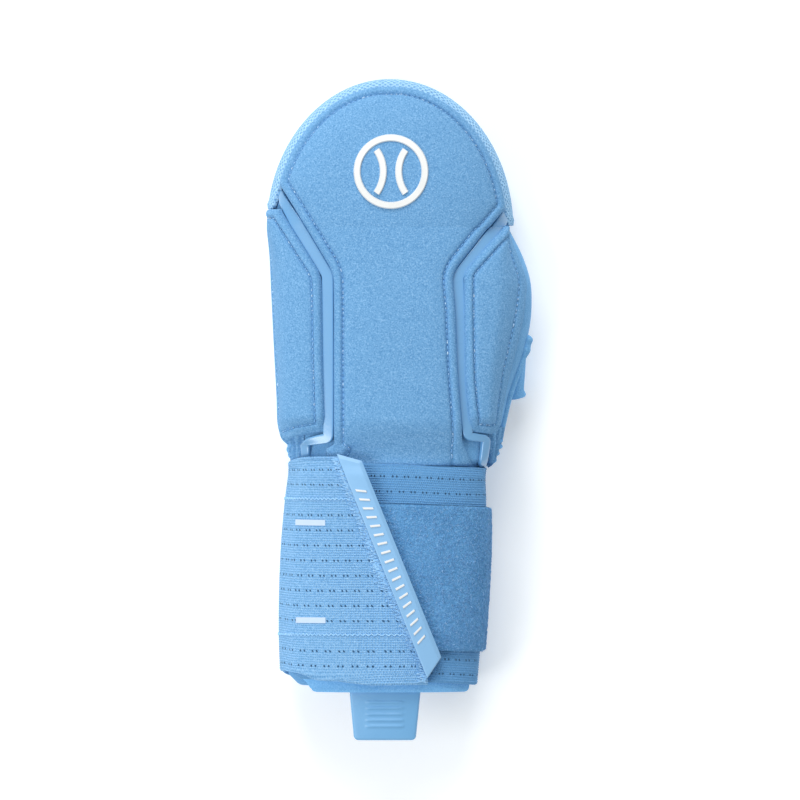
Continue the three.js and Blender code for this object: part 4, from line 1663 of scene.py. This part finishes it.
@dataclass
class ThumbSide:
    """The stall at the thumb slot, the rolled binding along it and the gathers at the wrist."""

    stall_grid: tuple[int, int] = (60, 50)
    stall_mouth: float = 4.6
    stall_rise: float = 2.3
    stall_top: float = 29.0
    stall_angles: Span = (-45.0, -7.5)
    stall_reach: float = 58.2
    stall_arch: float = 0.6
    stall_flare: float = 0.8
    flare_share: float = 0.1
    stall_fold: float = 0.3
    folds: float = 4.0
    fold_lean: float = 0.4
    lip_bead: float = 0.45
    lip_share: float = 0.03
    stall_flat: Span = (0.026, 0.027)
    roll_sides: int = 18
    hem_y: Span = (-15.5, 34.0)
    hem_steps: int = 120
    hem_angle: float = 2.0
    hem_radius: float = 1.7
    hem_seat: float = 0.2
    hem_blunt: float = 0.05
    hem_round: float = 2.0
    bunch_y: Span = (27.2, 32.0)
    bunch_swell: float = 0.9
    bunch_length: float = 2.2
    gather_steps: int = 110
    gather_lobe: float = 0.5
    lobe_vary: float = 0.25
    lobe_turn: float = 9.0
    gather_seat: float = 0.4
    gather_blunt: float = 0.004
    gather_round: float = 0.12
    gathers: tuple[Gather, ...] = (
        Gather("wrist_gather_outer", "gather_outer", (160.0, 200.0), (-14.0, -23.0), 4, 1.5),
        Gather("wrist_gather_thumb", "gather_thumb", (8.0, -6.0), (-13.6, -26.0), 4, 2.4, 0.55),
    )

    def stall(self) -> None:
        """A scoop on the side wall that stands off most at its mouth, with a beaded lip."""
        across = np.linspace(0, 1, self.stall_grid[0])[:, None]
        v = np.linspace(0, 1, self.stall_grid[1])[None, :]
        angle = np.radians(lerp(*self.stall_angles, across))
        arch = np.abs(np.sin(math.pi * across))
        y = lerp(self.stall_mouth + self.stall_rise * arch, self.stall_top, v)
        room = np.maximum(self.stall_reach - BODY.column("right", y), 0)
        room = room + self.stall_flare * bell(v, self.flare_share)
        fold = self.stall_fold * arch * np.sin(TURN * (self.folds * across + self.fold_lean * v))
        shift = beside(room * arch**self.stall_arch + fold, 0, 0)
        lip = self.lip_bead * bell(v - self.lip_share, self.lip_share)
        under = BODY.off(angle, y, LAYERS.gap) + shift
        over = BODY.off(angle, y, LAYERS.gap + LAYERS.stall + lip) + shift
        # The stall takes the lighter copy of the jersey: painted light
        piece = settle(put("stall", slab(under, over), LIT_JERSEY), Slot.NEOPRENE, "thumb_stall")

    def hem(self) -> None:
        """A smooth roll up the edge of the slot that bunches up in two swellings at its upper end."""
        y = np.linspace(*self.hem_y, self.hem_steps)
        swell = sum(bell(y - place, self.bunch_length) for place in self.bunch_y)
        ends = np.minimum(y - self.hem_y[0], self.hem_y[1] - y) + self.hem_blunt
        radius = (self.hem_radius + self.bunch_swell * swell) * rounded(ends, self.hem_round)
        path = BODY.off(math.radians(self.hem_angle), y, self.hem_seat)
        # The binding takes the lighter copy of the jersey: painted light
        piece = put("slot_binding", roll(path, radius, self.roll_sides), LIT_BINDING)
        settle(piece, Slot.NEOPRENE, "thumb_hem")

    def gather(self, one: Gather) -> None:
        """A bunched roll round the wrist corner whose radius swells in lobes.

        Args:
            one: the gather.
        """
        t = np.linspace(0, 1, self.gather_steps)
        vary = 1 - self.lobe_vary + self.lobe_vary * np.cos(self.lobe_turn * t)
        lobe = self.gather_lobe * np.cos(TURN * one.lobes * t) * vary
        ends = np.minimum(t, 1 - t) + self.gather_blunt
        radius = one.radius * (1 - one.taper * t) * (1 + lobe) * rounded(ends, self.gather_round)
        path = BODY.off(np.radians(lerp(*one.angles, t)), lerp(*one.stations, t), self.gather_seat)
        # The gathers take the lighter copy of the jersey: painted light
        settle(put(one.name, roll(path, radius, self.roll_sides), LIT_BINDING), Slot.NEOPRENE, one.node)

    def build(self) -> None:
        """Make the stall, binding and both gathers."""
        self.stall()
        self.hem()
        for one in self.gathers:
            self.gather(one)


# The wrist

@dataclass
class Cuff:
    """The neoprene tube round the wrist and its overlapping flap."""

    around: int = 160
    rows: int = 34
    lip_steps: int = 9
    flap_angles: Span = (25.0, 143.5)
    flap_lower: Span = (-129.2, -118.0)
    flap_upper: Span = (-117.0, -28.0)
    flap_rows: tuple[int, int] = (30, 26)
    flap_columns: int = 64
    flap_corner: float = 3.4
    corner_turn: float = 5.0
    flap_round: float = 1.6
    flap_lip: float = 0.6
    flap_flat: Span = (0.088, 0.101)

    def tube(self) -> None:
        """An outer and an inner wall that meet in rounded lips at both ends."""
        turn = np.linspace(0, TURN, self.around, endpoint=False)
        bend = np.linspace(0, math.pi, self.lip_steps)[1:-1]
        half = LAYERS.wall / 2
        lip = LAYERS.cuff_end + half
        y = np.linspace(lip, LAYERS.wrist_seam - LAYERS.gap, self.rows)
        stations = np.concatenate([y[::-1], lip - half * np.sin(bend), y, y[-1:]])
        insets = np.concatenate([0 * y, half - half * np.cos(bend), 0 * y + LAYERS.wall, [0.0]])
        points = BODY.point(turn, stations[:, None], insets[:, None])
        points[-1] = points[0]
        # The tube takes the darker copy of the jersey: painted shade
        settle(put("wrist_tube", rings(points), SHADED_JERSEY), Slot.NEOPRENE, "cuff")

    def flap(self) -> None:
        """A curved plate over the tube with round lower corners and a soft lip."""
        lower = np.linspace(*self.flap_lower, self.flap_rows[0])
        upper = np.linspace(*self.flap_upper, self.flap_rows[1])
        y = np.concatenate([lower, upper])[:, None]
        rim = y - self.flap_lower[0]
        trim = self.corner_turn * (1 - rounded(rim, self.flap_corner))
        first, last = self.flap_angles
        angle = np.radians(lerp(first + trim, last - trim, crowded(self.flap_columns)))
        lip = rounded(rim, self.flap_round)
        low = LAYERS.flap_gap + (1 - self.flap_lip) * LAYERS.flap * (1 - lip)
        high = LAYERS.flap_gap + LAYERS.flap * lerp(self.flap_lip, 1.0, lip)
        surface = laid(angle, y, low, high)
        # The flap takes the lighter copy of the jersey: painted light
        piece = settle(put("wrist_flap", surface, LIT_JERSEY), Slot.NEOPRENE, "cuff_flap")

    def build(self) -> None:
        """Make the tube and the flap."""
        self.tube()
        self.flap()


@dataclass
class WristStrap:
    """The wide ribbed elastic strap, one turn and a bit round the cuff to a slanted end."""

    start: float = 146.0
    course_turn: Row = (0.0, 120.0, 236.0, 326.0, 372.0)
    course_top: Row = (-24.4, -25.6, -25.6, -25.2, -21.6)
    course_bottom: Row = (-121.0, -126.0, -124.0, -119.6, -125.8)
    row_turn: Row = (0.0, 50.0, 110.0, 236.0, 290.0, 335.0, 352.0, 400.0)
    row_line: Row = (-24.8, -25.0, -26.7, -26.0, -20.4, -22.0, -22.4, -22.4)
    end_y: Row = (-127.0, -116.0, -21.0)
    end_x: Row = (11.2, 11.2, -26.4)
    end_radius: float = 42.0
    full_turn: float = 400.0
    climb: Span = (326.0, 348.0)
    along: int = 150
    across: int = 300
    crowd: float = 0.1
    edge_round: float = 1.0
    edge_share: float = 0.6
    rib: float = 1.1
    rib_depth: float = 0.3
    flat: Span = (0.101, 0.31)
    seat_rise: Span = (8.0, 24.0)
    seat_fall: Span = (141.0, 155.0)
    edge_cling: float = 0.6
    cling_y: Span = (-31.0, -25.0)
    thread_sides: int = 5
    overlock_seed: int = 11
    overlock_y: Span = (-22.6, -125.0)
    overlock_runs: tuple[Place, ...] = ((0.5, 0.2, 3.4), (0.7, 0.5, 4.6), (0.85, 0.3, 2.6), (1.1, 1.0, 5.2))
    overlock_stray: Span = (0.8, 0.35)
    overlock_least: float = 0.1
    overlock_lift: float = 0.15
    overlock_thread: float = 0.16
    overlock_steps: int = 6
    zigzag_y: Span = (-41.3, -102.8)
    zigzag_back: float = 4.0
    zigzag_turn: float = 100.0
    zigzag_pitch: float = 1.35
    zigzag_half: float = 0.55
    zigzag_lift: float = 0.1
    zigzag_thread: float = 0.26
    zigzag_steps: int = 5
    mark_x: Span = (-43.6, -32.1)
    mark_y: Span = (-52.1, -96.3)
    mark_half: float = 1.3
    mark_grid: tuple[int, int] = (20, 9)
    mark_lift: float = 0.15

    def seat(self, angle: Array, y: Array) -> Array:
        """How far the first layer stands off: the flap lifts it, and its upper edge clings closer.

        Args:
            angle: angle round the section in degrees.
            y: station.

        Returns:
            Distances from the skin.
        """
        over = smoothstep(angle, *self.seat_rise) * (1 - smoothstep(angle, *self.seat_fall))
        cling = lerp(1.0, self.edge_cling, smoothstep(y, *self.cling_y))
        return LAYERS.strap_gap + (LAYERS.flap_gap + LAYERS.flap) * over * cling

    def turn_at(self, x: Number, y: Number) -> Array:
        """Turn from the hidden start to a place in plan on the outer layer."""
        return self.start + 360 - np.degrees(BODY.angle_at(x, y))

    def end_turn(self, y: Number) -> Array:
        """Turn from the hidden start to the slanted end at a station."""
        return self.turn_at(np.interp(y, self.end_y, self.end_x), y)

    def at(self, turn: Array, y: Array, lift: Number) -> Array:
        """Place on the strap's underside after a turn; the end climbs over the first layer.

        Args:
            turn: turn from the hidden start in degrees.
            y: station.
            lift: height over the underside.

        Returns:
            The places.
        """
        angle = np.mod(self.start - turn + 180, 360) - 180
        second = smoothstep(turn, *self.climb) * (LAYERS.strap + LAYERS.strap_gap)
        return BODY.off(np.radians(angle), y, self.seat(angle, y) + second + lift)

    def height(self, x: Array, y: Array) -> Array:
        """Height of the outer layer's face over a place in plan."""
        angle = np.degrees(BODY.angle_at(x, y))
        return BODY.back_height(x, y, self.seat(angle, y) + 2 * (LAYERS.strap + LAYERS.strap_gap))

    def band(self) -> None:
        """The elastic: ribs as a cosine across it, edges rounded, its map measured along and across."""
        u = np.linspace(0, 1, self.along)[:, None]
        v = crowded(self.across, self.crowd)[None, :]
        rough = u * self.full_turn
        top = Course(self.course_turn, self.course_top)(rough)
        bottom = Course(self.course_turn, self.course_bottom)(rough)
        y = lerp(top, bottom, v)
        turn = u * self.end_turn(y)
        down = Course(self.row_turn, self.row_line)(rough) - y
        soft = rounded(np.minimum(v, 1 - v) * (top - bottom), self.edge_round)
        ribs = self.rib_depth * (np.cos(TURN * down / self.rib) - 1) / 2
        under = self.at(turn, y, (1 - self.edge_share) * LAYERS.strap * (1 - soft))
        over = self.at(turn, y, LAYERS.strap * lerp(self.edge_share, 1.0, soft) + ribs)
        length = path_lengths(over[:, self.across // 2])[:, None]
        piece = put("elastic_band", slab(under, over, beside(length, down)), ELASTIC)
        settle(piece, Slot.ELASTIC, "wrist_strap")

    def overlock(self) -> None:
        """Crossing zigzags of thread, unevenly pulled, that bind the slanted end."""
        chance = np.random.default_rng(self.overlock_seed)
        stray_back, stray_y = self.overlock_stray
        runs = []
        for pitch, near, far in self.overlock_runs:
            y = np.arange(*self.overlock_y, -pitch)
            back = np.where(np.arange(len(y)) % 2 == 0, near, far)
            back = back + chance.uniform(-stray_back, stray_back, len(y))
            y = y + chance.uniform(-stray_y, stray_y, len(y))
            legs = rounded_legs(beside(np.maximum(back, self.overlock_least), y), self.overlock_steps)
            turn = self.end_turn(legs[:, 1]) - np.degrees(legs[:, 0] / self.end_radius)
            path = self.at(turn, legs[:, 1], LAYERS.strap + self.overlock_lift * pitch)
            runs.append(roll(path, self.overlock_thread, self.thread_sides))
        settle(put("end_overlock", joined(runs), ELASTIC_THREAD), Slot.ELASTIC)

    def zigzag_rows(self) -> None:
        """Two rows of zigzag stitching along the strap's outer layer."""
        runs = []
        for row in self.zigzag_y:
            last = float(self.end_turn(row)) - self.zigzag_back
            turn = np.arange(last - self.zigzag_turn, last, self.zigzag_pitch)
            y = row + np.where(np.arange(len(turn)) % 2 == 0, self.zigzag_half, -self.zigzag_half)
            legs = rounded_legs(beside(turn, y), self.zigzag_steps).T
            path = self.at(*legs, LAYERS.strap + self.zigzag_lift)
            ups = unit(self.at(*legs, LAYERS.strap + 1.0) - path)
            runs.append(roll(path, self.zigzag_thread, self.thread_sides, ups))
        settle(put("zigzag_stitching", joined(runs), ELASTIC_THREAD), Slot.ELASTIC)

    def marks(self) -> None:
        """Two plain pale bars of film on the outer layer."""
        made = []
        columns, rows = self.mark_grid
        for middle in self.mark_y:
            down = middle + np.linspace(-self.mark_half, self.mark_half, rows)
            x, y = np.meshgrid(np.linspace(*self.mark_x, columns), down)
            turn = self.turn_at(x, y)
            under = self.at(turn, y, LAYERS.strap - self.rib_depth)
            made.append(slab(under, self.at(turn, y, LAYERS.strap + self.mark_lift)))
        settle(put("pale_marks", joined(made), REFLECTIVE), Slot.WHITE_MARK)

    def build(self) -> None:
        """Make the elastic, the thread on it and its marks."""
        self.band()
        self.overlock()
        self.zigzag_rows()
        self.marks()


@dataclass
class LoopPatch:
    """The fuzzy loop patch that the strap closes on."""

    strap: WristStrap
    top: float = -43.2
    top_fall: float = 2.4
    bottom: float = -110.4
    end: float = -18.0
    tuck: float = 2.6
    rows: int = 124
    columns: int = 106
    edge_round: float = 1.4
    edge_share: float = 0.4
    fuzz: float = 0.22
    fuzz_seed: int = 5
    sharp: float = 180.0
    strands: int = 5200
    strand: Stitch = Stitch(1.3, 0.07, rows=4, sides=3)
    strand_lift: float = 0.1
    flat: Span = (0.068, 0.065)
    area: float = 0.0036

    def build(self) -> None:
        """A curved sheet beside the slanted end whose face is roughened by loops."""
        chance = np.random.default_rng(self.fuzz_seed)
        across = np.linspace(0, 1, self.columns)[None, :]
        upper = self.top - self.top_fall * across
        y = lerp(self.bottom, upper, np.linspace(0, 1, self.rows)[:, None])
        start = np.degrees(BODY.angle_at(np.interp(y, self.strap.end_y, self.strap.end_x) + self.tuck, y))
        angle = lerp(start, self.end, across)
        seat = self.strap.seat(angle, y) + LAYERS.strap + LAYERS.strap_gap
        rough = chance.uniform(-self.fuzz, self.fuzz, y.shape)
        soft = rounded(np.minimum(y - self.bottom, upper - y), self.edge_round)
        thick = LAYERS.patch * lerp(self.edge_share, 1.0, soft) + rough * soft
        under = BODY.off(np.radians(angle), y, seat)
        over = BODY.off(np.radians(angle), y, seat + thick)
        piece = settle(put("loop_pad", slab(under, over), PILE, self.sharp), Slot.PILE, "loop_patch")
        self.fibres(over, chance)

    def fibres(self, face: Array, chance: np.random.Generator) -> None:
        """Strew small arched fibres over the pile, each along its own direction.

        Args:
            face: grid of the pile's face.
            chance: source of the random draws.
        """
        row = chance.integers(0, face.shape[0] - 1, self.strands)
        column = chance.integers(0, face.shape[1] - 1, self.strands)
        origins = face[row, column]
        ups = BODY.back_normal(origins)
        ways = chance.normal(size=(self.strands, 3))
        ways = unit(ways - ups * np.einsum("ij,ij->i", ways, ups)[:, None])
        strewn = scatter(self.strand.shape(), origins + self.strand_lift * ups, ways, ups)
        settle(put("loop_fibres", strewn, LOOP_FIBRE), Slot.PILE)


@dataclass
class StrapBar:
    """The moulded bar on the strap's slanted end, bevelled along its right and upper edges."""

    strap: WristStrap
    top_left: Span = (-28.9, -20.4)
    top_right: Span = (-17.4, -23.6)
    end_left: Span = (12.4, -122.6)
    end_right: Span = (18.8, -112.9)
    length: float = 103.0
    width: float = 11.6
    bevel: float = 2.0
    bevel_height: float = 0.72
    plain_round: float = 0.7
    plain_height: float = 0.86
    rows: int = 96
    columns: int = 40
    crowd: Span = (0.6, 0.5)
    sharp: float = 24.0
    ridges: int = 18
    ridge_along: Span = (0.16, 0.86)
    ridge_across: Span = (0.2, 0.66)
    ridge_steps: int = 12
    ridge_width: float = 1.1
    ridge_flat: float = 0.6
    ridge_lift: float = 0.45
    ridge_shoulder: float = 0.1125
    ridge_foot: float = -0.135
    ridge_sink: float = 0.18
    ridge_sharp: float = 30.0

    def plan(self, u: Array, v: Array) -> tuple[Array, Array]:
        """Place in plan for a share of the length and a share of the width.

        Args:
            u: share of the length from the top.
            v: share of the width from the left.

        Returns:
            X and Y.
        """
        left = [lerp(top, end, u) for top, end in zip(self.top_left, self.end_left)]
        right = [lerp(top, end, u) for top, end in zip(self.top_right, self.end_right)]
        return lerp(left[0], right[0], v), lerp(left[1], right[1], v)

    def lift(self, u: Array, v: Array) -> Array:
        """Height of the bar's face: full inside, sloped over the bevel, eased at the plain edges.

        Args:
            u: share of the length from the top.
            v: share of the width from the left.

        Returns:
            Heights over the strap.
        """
        slope = np.minimum((1 - v) * self.width, u * self.length)
        plain = np.minimum(v * self.width, (1 - u) * self.length)
        raised = lerp(self.bevel_height, 1.0, np.clip(slope / self.bevel, 0, 1))
        return LAYERS.bar * raised * lerp(self.plain_height, 1.0, rounded(plain, self.plain_round))

    def body(self) -> None:
        """The bar itself, laid on the strap's outer layer."""
        u = crowded(self.rows, self.crowd[0])[:, None]
        v = crowded(self.columns, self.crowd[1])[None, :]
        x, y = self.plan(u, v)
        base = self.strap.height(x, y)
        bar = plate(x, y, base, base + self.lift(u, v))
        settle(put("slanted_bar", bar, MOULDED, self.sharp), Slot.MOULDED, "strap_bar")

    def grip(self) -> None:
        """A row of plain white ridges across the bar's face."""
        shares, rise = bevelled(self.ridge_flat, self.ridge_lift, self.ridge_shoulder, self.ridge_foot)
        across = np.linspace(*self.ridge_across, self.ridge_steps)
        made = []
        for middle in np.linspace(*self.ridge_along, self.ridges):
            x, y = self.plan((middle + shares * self.ridge_width / 2 / self.length)[:, None], across)
            face = self.strap.height(x, y) + LAYERS.bar
            made.append(plate(x, y, face - self.ridge_sink, face + rise[:, None]))
        settle(put("bar_ridges", joined(made), WHITE, self.ridge_sharp), Slot.WHITE_MARK)

    def build(self) -> None:
        """Make the bar and its ridges."""
        self.body()
        self.grip()


@dataclass
class PullTab:
    """The moulded tab at the mouth: a tapered plate that droops to a round-cornered end."""

    along: Span = (-126.8, -151.2)
    left: Span = (-23.2, -21.2)
    right: Span = (9.6, 7.4)
    corner: float = 2.4
    droop: float = 3.0
    rows: int = 80
    columns: int = 52
    edge_round: float = 1.0
    edge_share: float = 0.65
    ribs: int = 4
    rib_lift: float = 0.45
    rib_from: float = 6.5
    rib_span: float = 11.0
    rib_margin: float = 0.06
    rib_half: float = 8.5
    rib_round: float = 1.5
    rib_power: float = 0.5

    def build(self) -> None:
        """Make the plate with embossed ribs near its end."""
        u = np.linspace(0, 1, self.rows)[:, None]
        v = crowded(self.columns)[None, :]
        root, end = self.along
        left = lerp(*self.left, u)
        right = lerp(*self.right, u)
        x = lerp(left, right, v)
        rim = np.minimum(x - left, right - x)
        y = lerp(root, end + self.corner * (1 - rounded(rim, self.corner)), u)
        mouth = SECTIONS[0].y
        seat = BODY.point(BODY.angle_at(x, mouth), mouth)[..., 2] - LAYERS.tab - LAYERS.gap
        base = seat - self.droop * u * u
        away = np.abs((v - 0.5) * (right - left))
        span = (y - end - self.rib_from) / self.rib_span
        within = (np.abs(span - 0.5) < 0.5 + self.rib_margin) & (away < self.rib_half)
        rib = np.clip(np.cos(TURN * self.ribs * span), 0, 1) ** self.rib_power
        emboss = self.rib_lift * rib * within * rounded(self.rib_half - away, self.rib_round)
        edge = rounded(np.minimum(rim, y - end), self.edge_round)
        top = base + LAYERS.tab * lerp(self.edge_share, 1.0, edge) + emboss
        settle(put("mouth_tab", plate(x, y, base, top), TAB), Slot.MOULDED, "pull_tab")


# Floor, light and camera

@dataclass
class Studio:
    """A pale floor, soft light from the upper left and a camera straight above the back of the hand."""

    frame_width: float = 0.367
    mid_height: float = 0.02
    camera_height: float = 4.0
    camera_y: float = 0.0041
    sensor: float = 36.0
    key_place: Place = (-0.2, 1.9, 1.3)
    key_size: float = 1.4
    key_power: float = 37.0
    fill_place: Place = (-0.93, -0.5, 1.2)
    fill_size: float = 0.8
    fill_power: float = 11.0
    sky: float = 0.5
    sky_colour: Colour = (0.88, 0.96, 1.0)
    floor_half: float = 3000.0
    floor_drop: float = 0.2

    def lamp(self, name: str, place: Place, size: float, power: float) -> None:
        """A square soft light that faces the object.

        Args:
            name: name of the lamp.
            place: where it stands.
            size: length of its side.
            power: its power.
        """
        data = bpy.data.lights.new(name, "AREA")
        data.size = size
        data.energy = power
        lamp = bpy.data.objects.new(name, data)
        lamp.location = place
        lamp.rotation_euler = (-Vector(place)).to_track_quat("-Z", "Y").to_euler()
        bpy.context.scene.collection.objects.link(lamp)

    def camera(self) -> None:
        """The camera, whose lens takes in the frame's width at the object's middle height."""
        data = bpy.data.cameras.new("camera")
        data.sensor_width = self.sensor
        data.lens = self.sensor * (self.camera_height - self.mid_height) / self.frame_width
        camera = bpy.data.objects.new("camera", data)
        camera.location = (0.0, self.camera_y, self.camera_height)
        bpy.context.scene.collection.objects.link(camera)
        bpy.context.scene.camera = camera

    def floor(self) -> None:
        """A wide pale plane just under the object."""
        square = np.array([[-1, -1, 0], [1, -1, 0], [1, 1, 0], [-1, 1, 0]], float)
        corners = square * self.floor_half - [0, 0, self.floor_drop]
        put("floor", Surface(corners, np.array([[0, 1, 2, 3]])), PAPER)

    def build(self) -> None:
        """Set up camera, floor, lamps and sky."""
        self.camera()
        self.floor()
        self.lamp("key", self.key_place, self.key_size, self.key_power)
        self.lamp("fill", self.fill_place, self.fill_size, self.fill_power)
        world = bpy.data.worlds.new("sky")
        world.use_nodes = True
        background = world.node_tree.nodes["Background"]
        background.inputs["Color"].default_value = (*self.sky_colour, 1.0)
        background.inputs["Strength"].default_value = self.sky
        bpy.context.scene.world = world
        bpy.context.scene.view_settings.view_transform = "Standard"


def main() -> None:
    """Build the mitt, piece by piece."""
    logging.basicConfig(level=logging.INFO, format="%(name)s %(message)s")
    strap = WristStrap()
    panel = BackPanel()
    outer_panel = SidePanel(
        Hand.OUTER,
        edge_y=(-10.4, -9.0, -6.0, 0.0, 23.0, 52.8, 61.0, 91.2),
        edge_inner=(-34.4, -33.7, -33.4, -33.6, -34.3, -34.7, -35.2, -52.8),
        edge_outer=(175.0, 177.5, 178.0, 178.0, 178.0, 178.0, 178.0, 177.0),
        tail_edge=-43.6,
        tail_end=174.0,
        slant=4.4,
    )
    thumb_panel = SidePanel(
        Hand.THUMB,
        edge_y=(-10.4, 0.0, 12.9, 30.5, 43.7, 56.0, 62.1, 82.6),
        edge_inner=(31.1, 29.9, 29.0, 28.8, 28.7, 28.7, 28.6, 46.2),
        edge_outer=(44.6, 46.0, 48.6, 53.2, 56.0, 57.2, 56.2, 47.8),
        tail_edge=40.4,
        tail_end=1.0,
        outer_share=0.75,
        slant=1.8,
    )
    outer_strip = ChannelStrip(
        Hand.OUTER,
        xs=(-54.2, -52.0, -46.2, -32.4, -32.1, -32.0, -32.2, -42.1, -42.6),
        ys=(100.0, 94.4, 85.0, 61.0, 22.5, -7.3, -13.2, -14.8, -23.6),
        widths=(1.6, 4.2, 5.6, 5.4, 5.0, 4.8, 4.6, 4.0, 3.0),
        heights=(0.8, 1.8, 2.9, 2.9, 2.9, 2.8, 2.6, 2.5, 0.6),
    )
    thumb_strip = ChannelStrip(
        Hand.THUMB,
        xs=(48.2, 45.2, 39.4, 26.0, 27.5, 29.6, 30.2, 38.3, 36.5),
        ys=(91.4, 85.6, 77.2, 60.4, 22.5, -7.3, -12.4, -13.4, -30.4),
        widths=(2.4, 4.6, 6.0, 5.4, 5.2, 4.8, 4.2, 3.4, 2.9),
        heights=(0.8, 1.8, 2.9, 2.9, 2.9, 2.8, 2.6, 2.2, 1.4),
    )
    pieces = (
        Studio(), Shell(), ToeCap(), panel, outer_panel, thumb_panel, outer_strip, thumb_strip,
        BallMark(panel), ThumbSide(), Cuff(), strap, LoopPatch(strap), StrapBar(strap), PullTab(),
    )
    for piece in pieces:
        piece.build()


if __name__ == "__main__":
    main()
